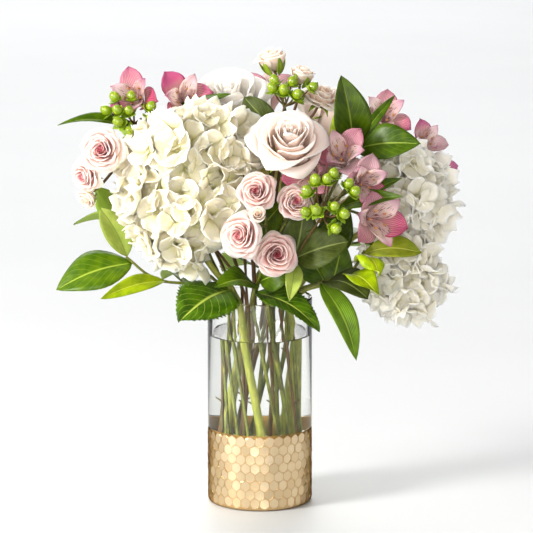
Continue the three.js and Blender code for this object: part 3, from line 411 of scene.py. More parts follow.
side = ease(tree, wave, 0.43, 0.5, (-500, 100))
strap = ease(tree, maths(tree, "ABSOLUTE", maths(tree, "SINE", maths(tree, "MULTIPLY", centred, 24.0))), 0.6, 1.0, (-500, -100))
chosen = add_node(tree, "ShaderNodeMix", (-300, 0), data_type="FLOAT")
wire(tree, given.outputs["Straight"], chosen.inputs[0])
wire(tree, side, chosen.inputs[2])
wire(tree, strap, chosen.inputs[3])
lines = maths(tree, "MAXIMUM", midrib, maths(tree, "MULTIPLY", chosen.outputs[0], given.outputs["Vein Strength"]), (-100, 200))
where = add_node(tree, "ShaderNodeTexCoord", (-1200, -300))
mottle = add_node(tree, "ShaderNodeTexNoise", (-900, -300))
mottle.inputs["Scale"].default_value = 90
mottle.inputs["Detail"].default_value = 4
wire(tree, where.outputs["Object"], mottle.inputs["Vector"])
blade_colour = blend_colour(tree, ease(tree, mottle.outputs["Fac"], 0.3, 0.7, (-700, -300)), given.outputs["Dark"],
                            given.outputs["Blade"], (-300, -300))
veined = blend_colour(tree, lines, blade_colour, given.outputs["Vein"], (150, 0))
own = add_node(tree, "ShaderNodeAttribute", (-300, -500), attribute_name="tint")
light_and_dark = add_node(tree, "ShaderNodeHueSaturation", (400, 0))
wire(tree, veined, light_and_dark.inputs["Color"])
wire(tree, maths(tree, "MULTIPLY_ADD", own.outputs["Fac"], 0.5, (150, -400)), light_and_dark.inputs["Value"])
light_and_dark.inputs["Value"].links[0].from_node.inputs[2].default_value = 0.75
wire(tree, light_and_dark.outputs[0], made.inputs["Color"])
wire(tree, maths(tree, "SUBTRACT", maths(tree, "MULTIPLY", mottle.outputs["Fac"], 0.3), lines, (400, -300)), made.inputs["Height"])


def leaf_material(name, blade, dark, vein, side_veins=9, slant=3, strength=0.5, straight=0, roughness=0.35,
                  bump=0.35, specular=0.18, coat=0):
    mat, tree, shader = node_material(name, roughness, specular)
    shader.inputs["Coat Weight"].default_value = coat
    shader.inputs["Coat Roughness"].default_value = 0.25
    finish = add_node(tree, "ShaderNodeGroup", (-600, 200), node_tree=leaf_finish)
    for label, value in (("Blade", blade), ("Dark", dark), ("Vein", vein)):
        finish.inputs[label].default_value = (*value, 1)
    for label, value in (("Side Veins", side_veins), ("Slant", slant), ("Vein Strength", strength), ("Straight", straight)):
        finish.inputs[label].default_value = value
    relief = add_node(tree, "ShaderNodeBump", (-300, -200))
    relief.inputs["Strength"].default_value = bump
    relief.inputs["Distance"].default_value = 0.0006
    wire(tree, finish.outputs["Color"], shader.inputs["Base Color"])
    wire(tree, finish.outputs["Height"], relief.inputs["Height"])
    wire(tree, relief.outputs[0], shader.inputs["Normal"])
    return mat


print("leaf finish with", len(leaf_finish.nodes), "nodes")

# %% [markdown]
# The vase is a straight cylinder of clear glass with a thick floor. A glass is turned: its half
# outline is drawn once and spun round the axis. The rim and the foot are rounded with a few extra
# points, because a real rim catches a bright line there.

# %% Clear glass
VASE = {"radius": 50.8, "inner": 47.3, "height": 203, "floor": 8.9, "foot": 48.1, "shoulder": 74.8, "bottom": 1.9}


def spun(name, outline, steps):
    """Spins an outline of (radius, z) in millimetres about the Z axis."""
    bpy.ops.object.select_all(action="DESELECT")
    bpy.ops.mesh.primitive_plane_add(size=0.001)
    turned = bpy.context.object
    turned.name = name
    bpy.ops.object.mode_set(mode="EDIT")
    bpy.ops.mesh.select_all(action="SELECT")
    bpy.ops.mesh.delete(type="VERT")
    shape = bmesh.from_edit_mesh(turned.data)
    points = [shape.verts.new((r * MM, 0, z * MM)) for r, z in outline]
    for first, second in zip(points, points[1:]):
        shape.edges.new((first, second))
    bmesh.update_edit_mesh(turned.data)
    bpy.ops.mesh.select_all(action="SELECT")
    bpy.ops.mesh.spin(steps=steps, angle=2 * math.pi, center=(0, 0, 0), axis=(0, 0, 1))
    bpy.ops.mesh.select_all(action="SELECT")
    bpy.ops.mesh.remove_doubles(threshold=0.00001)
    bpy.ops.mesh.normals_make_consistent(inside=False)
    bpy.ops.object.mode_set(mode="OBJECT")
    bpy.ops.object.shade_smooth_by_angle(angle=math.radians(35))
    return turned


def rounded(centre_r, centre_z, radius, start, end, steps=5):
    """Points on an arc in the (radius, z) plane, in degrees."""
    return [(centre_r + radius * math.cos(math.radians(start + (end - start) * i / steps)),
             centre_z + radius * math.sin(math.radians(start + (end - start) * i / steps)))
            for i in range(steps + 1)]


wall = VASE["radius"] - VASE["inner"]
glass = spun("vase_glass_clear", [
    (0, VASE["bottom"]), *rounded(VASE["foot"] - 3.5, VASE["bottom"] + 3.5, 3.5, -90, 0),
    (VASE["foot"], VASE["shoulder"] - 0.4), (VASE["foot"] + 0.4, VASE["shoulder"]),
    (VASE["radius"] - 0.4, VASE["shoulder"]), (VASE["radius"], VASE["shoulder"] + 0.4),
    *rounded(VASE["radius"] - wall / 2, VASE["height"] - wall / 2, wall / 2, 0, 180, 8),
    *rounded(VASE["inner"] - 5, VASE["floor"] + 5, 5, 0, -90), (0, VASE["floor"])], 128)


def clear_material(name, ior, colour, roughness=0.0):
    """Clear glass or water that lets the light through to what stands in it."""
    mat, tree, shader = node_material(name, roughness)
    shader.inputs["Transmission Weight"].default_value = 1
    shader.inputs["IOR"].default_value = ior
    haze = add_node(tree, "ShaderNodeTexNoise", (-700, 200))
    haze.inputs["Scale"].default_value = 6
    place = add_node(tree, "ShaderNodeTexCoord", (-900, 200))
    wire(tree, place.outputs["Object"], haze.inputs["Vector"])
    tone = blend_colour(tree, haze.outputs["Fac"], colour, [min(1, c * 1.01) for c in colour], (-400, 200))
    wire(tree, tone, shader.inputs["Base Color"])
    path = add_node(tree, "ShaderNodeLightPath", (-200, 500))
    see_through = add_node(tree, "ShaderNodeBsdfTransparent", (-200, -300))
    see_through.inputs["Color"].default_value = (*[c ** 2 for c in colour], 1)
    mix = add_node(tree, "ShaderNodeMixShader", (200, 200))
    wire(tree, path.outputs["Is Shadow Ray"], mix.inputs[0])
    wire(tree, shader.outputs[0], mix.inputs[1])
    wire(tree, see_through.outputs[0], mix.inputs[2])
    wire(tree, mix.outputs[0], tree.nodes["Material Output"].inputs["Surface"])
    return mat


join_as("vase_glass_clear", [glass], "vase_glass", clear_material("clear_glass", 1.28, (0.985, 0.99, 0.985)))
print("glass", len(glass.data.polygons), "faces")

# %% [markdown]
# Water fills three quarters of the vase. It reaches a fifth of a millimetre into the glass, since
# a film of air between the two would show as a mirror, and its edge climbs a little up the wall.

# %% Water
WATER_LEVEL = 165
wet = VASE["inner"] + 0.2
water = spun("water_fill", [
    (0, VASE["floor"] - 0.2), *rounded(wet - 5, VASE["floor"] + 4.8, 5, -90, 0),
    (wet, WATER_LEVEL + 1.3), (VASE["inner"] - 0.4, WATER_LEVEL + 0.5), (VASE["inner"] - 1.6, WATER_LEVEL + 0.1),
    (VASE["inner"] - 4, WATER_LEVEL), (0, WATER_LEVEL)], 128)
join_as("water_fill", [water], "water", clear_material("clear_water", 1.22, (0.985, 0.99, 0.975)))
print("water to", WATER_LEVEL, "mm")

# %% [markdown]
# The gold foot is hammered into rows of staggered hexagons. By hand: a ring of edges gets a
# zigzag, is extruded upwards row by row with the zigzag turned over each time, and the upright
# edge in the middle of each hexagon is dissolved. Every hexagon is then inset and pressed in
# twice, which leaves a shallow dish with a crisp ridge round it.

# %% Hammered gold cup
CUP = {"height": 73, "round": 34, "rows": 8, "corner": 3.5, "zigzag": 1.5, "inner": 48.4, "skin": 1.6}
points = CUP["round"] * 2
rise = (CUP["height"] - CUP["corner"]) / CUP["rows"]


def pick(mesh_object, test):
    """Selects, in edit mode, the vertices that pass a test, with the edges and faces between them."""
    shape = bmesh.from_edit_mesh(mesh_object.data)
    for thing in (*shape.faces, *shape.edges, *shape.verts):
        thing.select = False
    for vertex in shape.verts:
        vertex.select = test(vertex.co / MM)
    shape.select_flush_mode()
    bmesh.update_edit_mesh(mesh_object.data)
    return shape


def at_step(co, parity, low, high):
    """True for every second point round the ring, in a height range."""
    step = round(math.atan2(co.y, co.x) / (2 * math.pi / points)) % 2
    return step == parity and low < co.z < high


bpy.ops.object.select_all(action="DESELECT")
bpy.ops.mesh.primitive_circle_add(vertices=points, radius=VASE["radius"] * MM, location=(0, 0, 0))
cup = bpy.context.object
bpy.ops.object.mode_set(mode="EDIT")
bpy.ops.mesh.select_all(action="SELECT")
bpy.ops.transform.rotate(value=math.pi / 2, orient_axis="Z", center_override=(0, 0, 0))
bpy.ops.transform.translate(value=(0, 0, (CUP["corner"] + CUP["zigzag"]) * MM))
pick(cup, lambda co: at_step(co, 0, 0, 99))
bpy.ops.transform.translate(value=(0, 0, -2 * CUP["zigzag"] * MM))
bpy.ops.mesh.select_all(action="SELECT")
for row in range(CUP["rows"]):
    bpy.ops.mesh.extrude_region_move(TRANSFORM_OT_translate={"value": (0, 0, rise * MM)})
    low = CUP["corner"] + (row + 0.5) * rise
    way = 1 if row % 2 == 0 else -1
    pick(cup, lambda co: at_step(co, 0, low, low + rise))
    bpy.ops.transform.translate(value=(0, 0, 2 * way * CUP["zigzag"] * MM))
    pick(cup, lambda co: at_step(co, 1, low, low + rise))
    bpy.ops.transform.translate(value=(0, 0, -2 * way * CUP["zigzag"] * MM))
    pick(cup, lambda co: low < co.z < low + rise)
bpy.ops.mesh.select_all(action="DESELECT")
bpy.ops.mesh.select_mode(type="EDGE")
shape = bmesh.from_edit_mesh(cup.data)
for edge in shape.edges:
    start, end = [v.co / MM for v in edge.verts]
    upright = abs(start.x - end.x) + abs(start.y - end.y) < 0.01
    row = int((min(start.z, end.z) - CUP["corner"] + 2) / rise)
    step = round(math.atan2(start.y, start.x) / (2 * math.pi / points)) % 2
    edge.select = upright and (step + row) % 2 == 0
bmesh.update_edit_mesh(cup.data)
bpy.ops.mesh.dissolve_edges(use_verts=False)
bpy.ops.mesh.select_mode(type="FACE")
bpy.ops.mesh.select_all(action="SELECT")
bpy.ops.mesh.normals_make_consistent(inside=False)
bpy.ops.mesh.inset(thickness=0.08 * MM, depth=-0.01 * MM, use_individual=True, use_boundary=True)
bpy.ops.mesh.inset(thickness=0.25 * MM, depth=-0.05 * MM, use_individual=True)
bpy.ops.transform.edge_crease(value=1)
bpy.ops.transform.vert_crease(value=1)
shape = bmesh.from_edit_mesh(cup.data)
blows = random.Random(3)
facet = shape.faces.layers.float.new("facet")
for face in [f for f in shape.faces if f.select]:
    face[facet] = blows.uniform(0.45, 1.0)
    middle, outward = face.calc_center_median(), face.normal.copy()
    side = outward.cross(Vector((0, 0, 1)))
    yaw, pitch = blows.uniform(-0.08, 0.08), blows.uniform(-0.07, 0.06)
    for corner in face.verts:
        away = corner.co - middle
        corner.co += outward * (away.dot(side) * yaw + away.z * pitch)
bmesh.update_edit_mesh(cup.data)
print("hexagons pressed:", len([f for f in cup.data.polygons if len(f.vertices) == 6]))

# %% [markdown]
# The cup is a thin shell. Its wavy top edge is extruded inwards and flattened, then down the
# inside to a floor, and its lower edge is drawn in to a flat foot that it stands on.

# %% Inner wall and foot of the cup
def pick_boundary(mesh_object, above):
    """Selects the open edges that lie above, or below, the middle of the cup."""
    bpy.ops.mesh.select_mode(type="EDGE")
    bpy.ops.mesh.select_all(action="DESELECT")
    shape = bmesh.from_edit_mesh(mesh_object.data)
    for edge in shape.edges:
        edge.select = edge.is_boundary and (edge.verts[0].co.z > 36 * MM) == above
    shape.select_flush_mode()
    bmesh.update_edit_mesh(mesh_object.data)


def draw_ring(start, radius, z):
    """Extrudes the selected ring of edges to a new radius and a flat height."""
    bpy.ops.mesh.extrude_edges_move()
    scale = radius / start
    bpy.ops.transform.resize(value=(scale, scale, 0), center_override=(0, 0, z * MM))


pick_boundary(cup, True)
draw_ring(VASE["radius"], CUP["inner"], CUP["height"])
draw_ring(1, 1, CUP["skin"] + 3)
draw_ring(CUP["inner"], CUP["inner"] - 3, CUP["skin"])
bpy.ops.mesh.extrude_edges_move()
bpy.ops.mesh.merge(type="CENTER")
pick_boundary(cup, False)
draw_ring(VASE["radius"], VASE["radius"] - 0.9, 0.9)
draw_ring(VASE["radius"] - 0.9, VASE["radius"] - 3.5, 0)
bpy.ops.mesh.extrude_edges_move()
bpy.ops.mesh.merge(type="CENTER")
bpy.ops.mesh.select_mode(type="VERT")
bpy.ops.mesh.select_all(action="SELECT")
bpy.ops.mesh.normals_make_consistent(inside=False)
bpy.ops.object.mode_set(mode="OBJECT")
soft = cup.modifiers.new("soft", "SUBSURF")
soft.levels = soft.render_levels = 1
bpy.ops.object.modifier_apply(modifier="soft")
bpy.ops.object.shade_smooth_by_angle(angle=math.radians(4))

gold, tree, shader = node_material("hammered_gold", 0.2)
shader.inputs["Metallic"].default_value = 1
shader.inputs["Specular Tint"].default_value = (0.1, 0.045, 0.015, 1)
place = add_node(tree, "ShaderNodeTexCoord", (-900, 0))
patches = add_node(tree, "ShaderNodeTexNoise", (-700, 100))
patches.inputs["Scale"].default_value = 60
brushed = add_node(tree, "ShaderNodeTexNoise", (-700, -200))
brushed.inputs["Scale"].default_value = 700
for noise in (patches, brushed):
    wire(tree, place.outputs["Object"], noise.inputs["Vector"])
struck = add_node(tree, "ShaderNodeAttribute", (-700, 400), attribute_name="facet")
bright = blend_colour(tree, patches.outputs["Fac"], (0.8, 0.58, 0.34), (0.94, 0.78, 0.53), (-400, 200))
wire(tree, blend_colour(tree, struck.outputs["Fac"], (0.66, 0.46, 0.23), bright, (-200, 300)), shader.inputs["Base Color"])
wire(tree, maths(tree, "MULTIPLY_ADD", brushed.outputs["Fac"], 0.12, (-400, -100)), shader.inputs["Roughness"])
shader.inputs["Roughness"].links[0].from_node.inputs[2].default_value = 0.17
relief = add_node(tree, "ShaderNodeBump", (-200, -300))
relief.inputs["Strength"].default_value = 0.06
relief.inputs["Distance"].default_value = 0.0004
wire(tree, brushed.outputs["Fac"], relief.inputs["Height"])
wire(tree, relief.outputs[0], shader.inputs["Normal"])
struck_tone = cup.data.attributes["facet"].data
for face in cup.data.polygons:
    if face.center.xy.length < 49.8 * MM or face.center.z > (CUP["height"] - 0.6) * MM:
        struck_tone[face.index].value = 0.8
join_as("gold_cup_hammered", [cup], "vase_gold_base", gold)
lining, tree, shader = node_material("gold_lining", 0.5)
shader.inputs["Metallic"].default_value = 0.5
cells = add_node(tree, "ShaderNodeTexVoronoi", (-700, 0))
cells.inputs["Scale"].default_value = 110
wire(tree, add_node(tree, "ShaderNodeTexCoord", (-900, 0)).outputs["Object"], cells.inputs["Vector"])
wire(tree, blend_colour(tree, cells.outputs["Color"], (0.42, 0.25, 0.06), (0.2, 0.11, 0.02), (-400, 0)),
     shader.inputs["Base Color"])
glass.data.materials.append(lining)
for face in glass.data.polygons:
    spot = face.center / MM
    if math.hypot(spot.x, spot.y) > VASE["foot"] - 0.4 and 5 < spot.z < CUP["height"] + 1.6:
        face.material_index = 1
print("gold cup", len(cup.data.polygons), "faces")

# %% [markdown]
# All stems of one ring lean the same way round, so they pass one another without crossing, as in
# a hand-tied spiral. Each runs straight from its foot in the water to the mouth, and then bends
# out along a smooth curve to its flower. A round stem is a curve with a bevel that tapers.

# %% Stems
BUNDLE = {"foot": 10.6, "mouth": 203, "straight": 168, "twist": 60, "outer": (33, 36), "inner": (15, 17)}
STEMS = {
    "hydrangea_left_stem": ("outer", 230, 3.4, [(-45, -30, 235), (-64, -28, 262)]),
    "hydrangea_right_upper_stem": ("outer", 12, 3.4, [(62, 10, 238), (104, 6, 268), (124, 5, 284)]),
    "hydrangea_right_lower_stem": ("outer", -10, 3.4, [(62, -8, 216), (112, -11, 214)]),
    "hydrangea_back_stem": ("outer", 98, 3.4, [(8, 60, 235), (15, 84, 264)]),
    "rose_front_stem": ("outer", 282, 2.6, [(14, -34, 255), (22, -34, 312), (27, -56, 344)]),
    "rose_top_stem": ("inner", 110, 2.6, [(-12, 26, 290), (-24, 46, 345), (-29, 50, 374)]),
    "rose_back_stem": ("outer", 76, 2.6, [(38, 46, 262), (62, 62, 320), (70, 78, 352)]),
    "spray_rose_front_stem": ("outer", 258, 1.8, [(2, -50, 236), (8, -62, 262)]),
    "spray_rose_left_stem": ("inner", 165, 1.8, [(-38, 14, 240), (-80, 40, 278), (-120, 36, 312), (-138, -8, 334)]),
    "spray_rose_top_stem": ("inner", 15, 1.8, [(16, 6, 300), (28, 8, 370)]),
    "spray_rose_back_stem": ("outer", 122, 1.8, [(-34, 58, 255), (-52, 98, 300)]),
    "alstroemeria_left_stem": ("outer", 188, 1.9, [(-54, 28, 250), (-86, 52, 318), (-94, 36, 362)]),
    "alstroemeria_centre_stem": ("inner", -42, 1.9, [(36, -26, 262), (62, -36, 300)]),
    "alstroemeria_right_stem": ("outer", 34, 1.9, [(50, 40, 250), (98, 62, 315), (120, 62, 335)]),
    "alstroemeria_back_stem": ("inner", 60, 1.9, [(10, 34, 300), (12, 66, 350)]),
    "hypericum_left": ("inner", 215, 1.5, [(-22, 20, 272), (-78, 36, 348), (-118, 5, 366)]),
    "hypericum_top": ("inner", 290, 1.5, [(10, -14, 300), (22, -14, 382)]),
    "hypericum_centre": ("outer", 306, 1.5, [(34, -58, 250), (56, -80, 290)]),
    "hypericum_back": ("outer", 145, 1.5, [(-56, 52, 260), (-98, 84, 322)]),
    "greenery_left": ("outer", 208, 1.8, [(-58, -16, 216), (-100, -26, 224), (-128, -28, 246)]),
    "greenery_right": ("outer", -34, 1.8, [(52, -44, 222), (86, -54, 236), (100, -50, 256)]),
    "greenery_top": ("inner", -14, 1.8, [(34, 0, 270), (74, -14, 335), (92, -20, 352)]),
    "greenery_back_left": ("outer", 166, 1.8, [(-68, 30, 230), (-128, 52, 262)]),
    "greenery_back_right": ("outer", 55, 1.8, [(56, 56, 228), (112, 84, 256)]),
}
BRANCHES = [
    ("spray_rose_front_stem", (8, -62, 260), (6, -72, 290), (-1, -86, 316)),
    ("spray_rose_front_stem", (8, -62, 260), (24, -68, 284), (31, -79, 306)),
    ("spray_rose_front_stem", (6, -60, 256), (-4, -72, 264), (-15, -89, 277)),
    ("spray_rose_front_stem", (5, -55, 244), (12, -66, 252), (15, -78, 257)),
    ("spray_rose_front_stem", (6, -70, 282), (-2, -92, 290), (-2, -105, 297)),
    ("spray_rose_left_stem", (-136, -4, 332), (-145, -34, 346), (-147, -49, 351)),
    ("spray_rose_left_stem", (-136, -4, 332), (-152, -20, 328), (-162, -36, 325)),
    ("spray_rose_left_stem", (-136, -4, 332), (-150, -18, 316), (-158, -30, 310)),
    ("spray_rose_top_stem", (28, 8, 364), (48, 12, 374), (58, 14, 389)),
    ("spray_rose_top_stem", (28, 8, 368), (20, 12, 400), (14, 12, 422)),
    ("spray_rose_top_stem", (28, 8, 368), (36, 6, 392), (39, 5, 411)),
    ("spray_rose_back_stem", (-52, 98, 298), (-46, 120, 312), (-41, 130, 318)),
    ("spray_rose_back_stem", (-52, 98, 298), (-65, 110, 325), (-67, 116, 338)),
    ("alstroemeria_left_stem", (-94, 36, 360), (-110, 30, 380), (-118, 27, 393)),
    ("alstroemeria_left_stem", (-94, 36, 360), (-80, 38, 374), (-74, 32, 390)),
    ("alstroemeria_centre_stem", (62, -36, 298), (74, -35, 322), (80, -38, 336)),
    ("alstroemeria_centre_stem", (62, -36, 298), (82, -42, 310), (94, -54, 321)),
    ("alstroemeria_centre_stem", (62, -36, 298), (84, -46, 294), (102, -58, 290)),
    ("alstroemeria_right_stem", (120, 62, 333), (124, 48, 354), (122, 37, 371)),
    ("alstroemeria_right_stem", (120, 62, 333), (146, 62, 340), (161, 56, 345)),
    ("alstroemeria_right_stem", (118, 62, 331), (150, 70, 324), (170, 63, 316)),
    ("alstroemeria_back_stem", (12, 66, 348), (12, 90, 362), (10, 103, 373)),
]
WOODY = ("rose_top_stem", "rose_back_stem", "hypericum_left", "hypericum_top", "hypericum_centre",
         "hypericum_back", "spray_rose_top_stem", "spray_rose_back_stem", "spray_rose_left_stem")


def stem_points(name):
    ring, angle, radius, route = STEMS[name]
    top, foot = BUNDLE[ring]
    around = [math.radians(angle + BUNDLE["twist"]), math.radians(angle)]
    base = Vector((foot * math.cos(around[0]), foot * math.sin(around[0]), BUNDLE["foot"]))
    mouth = Vector((top * math.cos(around[1]), top * math.sin(around[1]), BUNDLE["mouth"]))
    level = (BUNDLE["straight"] - BUNDLE["foot"]) / (BUNDLE["mouth"] - BUNDLE["foot"])
    straight = base.lerp(mouth, level)
    bent = smooth_path([straight, mouth, *route], 6 * (len(route) + 1))
    return [base.lerp(straight, i / 9) for i in range(9)] + bent


def stem_material(name, light_tone, dark_tone, streak, roughness=0.45):
    mat, tree, shader = node_material(name, roughness, 0.4)
    place = add_node(tree, "ShaderNodeTexCoord", (-1100, 0))
    stretch = add_node(tree, "ShaderNodeMapping", (-900, 0))
    stretch.inputs["Scale"].default_value = (420, 420, 40)
    fibre = add_node(tree, "ShaderNodeTexNoise", (-700, 0))
    fibre.inputs["Scale"].default_value = 1
    blotch = add_node(tree, "ShaderNodeTexNoise", (-700, -250))
    blotch.inputs["Scale"].default_value = 45
    wire(tree, place.outputs["Object"], stretch.inputs[0])
    wire(tree, stretch.outputs[0], fibre.inputs["Vector"])
    wire(tree, place.outputs["Object"], blotch.inputs["Vector"])
    tone = blend_colour(tree, ease(tree, blotch.outputs["Fac"], 0.35, 0.65, (-500, -250)), light_tone, dark_tone, (-300, 100))
    streaked = blend_colour(tree, ease(tree, fibre.outputs["Fac"], 0.5, 0.75, (-500, 0)), tone, streak, (-100, 100))
    wire(tree, streaked, shader.inputs["Base Color"])
    relief = add_node(tree, "ShaderNodeBump", (-300, -300))
    relief.inputs["Strength"].default_value = 0.25
    relief.inputs["Distance"].default_value = 0.0005
    wire(tree, fibre.outputs["Fac"], relief.inputs["Height"])
    wire(tree, relief.outputs[0], shader.inputs["Normal"])
    return mat


green_stem = stem_material("green_stem", (0.11, 0.13, 0.01), (0.05, 0.055, 0.005), (0.2, 0.19, 0.035))
thick_stem = stem_material("thick_stem", (0.25, 0.26, 0.035), (0.16, 0.18, 0.018), (0.36, 0.35, 0.09))
woody_stem = stem_material("woody_stem", (0.12, 0.055, 0.015), (0.08, 0.065, 0.012), (0.05, 0.018, 0.006), 0.6)
stem_parts = {name: [] for name in STEMS}
for name, (ring, angle, radius, route) in STEMS.items():
    points_here = stem_points(name)
    knots = range(3, len(points_here) - 2, 5 if radius < 3 else 7)
    foot_radius = radius * (1.2 if radius > 3 else 0.88)
    stem_parts[name].append(add_stem(points_here, foot_radius, radius * 0.75, 3, knots))
    if name in WOODY or name == "rose_front_stem":
        for n, knot in enumerate(range(2, 14, 3)):
            start = Vector(points_here[knot])
            turn = n * 2.3 + angle
            spur = start + Vector((6 * math.cos(turn), 6 * math.sin(turn), 4))
            stem_parts[name].append(add_stem([start, start.lerp(spur, 0.6), spur], 1.1, 0.5, 2))
for owner, *path in BRANCHES:
    stem_parts[owner].append(add_stem(smooth_path(path, 8), 1.5, 1.3, 2))
print("stems", len(STEMS), "branches", len(BRANCHES))

# %% [markdown]
# A mophead hydrangea is a dome of small florets, each of four broad, overlapping petals round a
# tiny bead. One petal is modelled, three copies are turned round the bead, and a few such florets,
# flat, cupped and ruffled, are then copied all over the dome. Each keeps to a few faces a petal,
# because hundreds of them are needed.

# %% Hydrangea florets
def tone(code):
    """A colour from its usual web code, as the linear numbers that a shader takes."""
    parts = [(code >> shift & 255) / 255 for shift in (16, 8, 0)]
    return tuple(c / 12.92 if c <= 0.04045 else ((c + 0.055) / 1.055) ** 2.4 for c in parts)


FLORET = {"radius": 15.5, "width": 19, "root": 0.8, "wall": 0.4, "bead": 0.9}


def floret_petal(lift, curl, ruffle, phase):
    def petal(across, along):
        v = along ** 0.9
        half = FLORET["width"] / 2 * max(math.sin(math.pi * min(v, 1) ** 1.3) ** 0.55, 0.56 * along ** 4)
        out = FLORET["root"] + (FLORET["radius"] - FLORET["root"]) * v * (1 - (0.05 + 0.06 * along ** 4) * across ** 2)
        rise = lift * v + curl * v ** 3 + 2.2 * across ** 2 * v
        return (half * across, out, rise + 1.3 * ruffle * math.sin(2.9 * across + 4.2 * v + phase) * v)
    return add_sheet(4, 4, petal, FLORET["wall"])


def floret_pattern(name, lift, curl, ruffle):
    leaves = [floret_petal(lift + 2.4 * math.sin(2.3 * i + lift), curl + 1.8 * math.cos(1.7 * i), ruffle, 2.1 * i)
              for i in range(4)]
    parts = [copy_of(leaf, Matrix.Rotation(math.pi / 2 * i, 4, "Z") @ Matrix.Translation((0, 0, 0.35 * MM * (i % 2))))
             for i, leaf in enumerate(leaves)]
    bpy.ops.object.select_all(action="DESELECT")
    bpy.ops.mesh.primitive_uv_sphere_add(segments=6, ring_count=4, radius=FLORET["bead"] * MM, location=(0, 0, 0.9 * MM))
    bead = bpy.context.object
    bpy.ops.object.shade_smooth()
    for corner in bead.data.uv_layers["UVMap"].data:
        corner.uv = (0.5, 0)
    parts.append(copy_of(bead, Matrix.Translation((0, 0, 0.9 * MM))))
    bpy.ops.object.select_all(action="DESELECT")
    for part in parts:
        part.select_set(True)
    bpy.context.view_layer.objects.active = parts[0]
    bpy.ops.object.join()
    remove(*leaves, bead)
    parts[0].name = name
    return parts[0]


florets = [floret_pattern("floret_flat", 3.0, 0.5, 1.1), floret_pattern("floret_cupped", 7.0, 2.0, 0.9),
           floret_pattern("floret_ruffled", 4.0, -2.0, 1.9), floret_pattern("floret_backswept", 2.0, -3.5, 1.4),
           floret_pattern("floret_folded", 9.5, 0.5, 1.5)]
print("floret", len(florets[0].data.polygons), "faces")

# %% [markdown]
# The florets are spread over an oval by the golden angle, which leaves no rows, and each is
# nudged, tilted and turned a little by a seeded random draw. A second, sunken layer and a core,
# both darkened with painted shade, close the gaps. The side that presses into the bouquet stays bare.

# %% Hydrangea heads
BLOOM_ROOM = [((29, -72, 358), 36), ((-31, 50, 390), 31), ((75, 88, 368), 33), ((-3, -92, 319), 16),
              ((33, -85, 308), 15), ((-18, -96, 278), 19), ((16, -85, 258), 18), ((-149, -57, 353), 19),
              ((-167, -38, 326), 13), ((60, 12, 396), 17), ((-40, 138, 320), 19), ((-70, 120, 344), 18),
              ((80, -42, 342), 20), ((96, -60, 324), 18), ((107, -63, 290), 16), ((122, 34, 377), 20),
              ((166, 54, 350), 16), ((176, 62, 316), 16), ((10, 108, 379), 20), ((-122, 24, 398), 18),
              ((-73, 28, 396), 16), ((-80, 4, 396), 26), ((-84, 20, 380), 16), ((-62, 10, 391), 14)]
HEART = Vector((0, 0, 270))


def has_room(place, reach=7):
    return all((place - Vector(centre)).length > size + reach for centre, size in BLOOM_ROOM)


def mophead(centre, radii, count, size, seed, shrink_above=999):
    draw = random.Random(seed)
    centre, oval = Vector(centre), Vector(radii)
    outward = (centre - HEART).normalized()
    parts = []
    for i in range(count):
        height = 1 - (2 * i + 1) / count
        around = GOLDEN_ANGLE * i
        flat = math.sqrt(1 - height * height)
        unit = Vector((flat * math.cos(around), flat * math.sin(around), height))
        normal = Vector([a / b for a, b in zip(unit, oval)]).normalized()
        mound = 1 + 0.045 * math.sin(3 * around + seed) * math.cos(5 * height) + draw.uniform(-0.045, 0.03)
        sunk = 7 if i % 4 == 3 else 0
        tilt = Vector([draw.uniform(-0.55, 0.55) for _ in range(3)])
        turn, kind, shade, scale = draw.uniform(0, 6.28), draw.randrange(5), draw.random(), draw.uniform(0.75, 1.15)
        place = centre + Vector([u * r * mound for u, r in zip(unit, oval)]) - normal * sunk
        if normal.dot(outward) < -0.5 or not has_room(place):
            continue
        if place.z > shrink_above:
            scale *= 0.62
            shade *= 0.4
        # Sunken florets are darkened with painted shade: their colour number is halved.
        if sunk:
            shade *= 0.5
        parts.append(copy_of(florets[kind], facing(place, normal + tilt, turn, scale * size), shade))
    bpy.ops.object.select_all(action="DESELECT")
    bpy.ops.mesh.primitive_uv_sphere_add(segments=24, ring_count=16, radius=MM)
    core = bpy.context.object
    bpy.ops.object.mode_set(mode="EDIT")
    bpy.ops.mesh.select_all(action="SELECT")
    bpy.ops.transform.resize(value=[r - 10 for r in radii])
    bpy.ops.transform.translate(value=centre * MM)
    bpy.ops.object.mode_set(mode="OBJECT")
    bpy.ops.object.shade_smooth()
    # The core takes the root colour and a low colour number: painted shade between the florets.
    for corner in core.data.uv_layers["UVMap"].data:
        corner.uv = (0.5, 0.12)
    core_copy = copy_of(core, Matrix(), 0.1)
    remove(core)
    return [*parts, core_copy]


# The hydrangeas' white lip is their pale petal edge and also a painted highlight along the rim.
cream_petals = petal_material("cream_hydrangea", tone(0xdad481), tone(0xf6ecca), tone(0xfffdf5), reach=0.55,
                              lip_width=0.14, veins=0.2, spread=0.12, bump=0.35)
white_petals = petal_material("white_hydrangea", tone(0xe6dda8), tone(0xf8f2df), tone(0xfffffb), reach=0.45,
                              lip_width=0.13, veins=0.15, spread=0.1, bump=0.35)
HEADS = [  # name, lobes (middle, radii, florets, size), seed, height above which they are smaller
    ("hydrangea_left", [((-65, -28, 315), (60, 50, 74), 205, 1.26)], 11, 375, "hydrangea_cream", cream_petals),
    ("hydrangea_right_upper", [((137, 5, 300), (37, 38, 42), 100, 1.15)], 23, 999, "hydrangea_white", white_petals),
    ("hydrangea_right_lower", [((138, -12, 219), (34, 34, 29), 70, 1.12), ((130, -12, 248), (32, 32, 14), 32, 1.05)],
     37, 999, "hydrangea_white", white_petals),
    ("hydrangea_back", [((20, 96, 298), (52, 45, 46), 135, 1.12)], 41, 999, "hydrangea_cream", cream_petals),
]
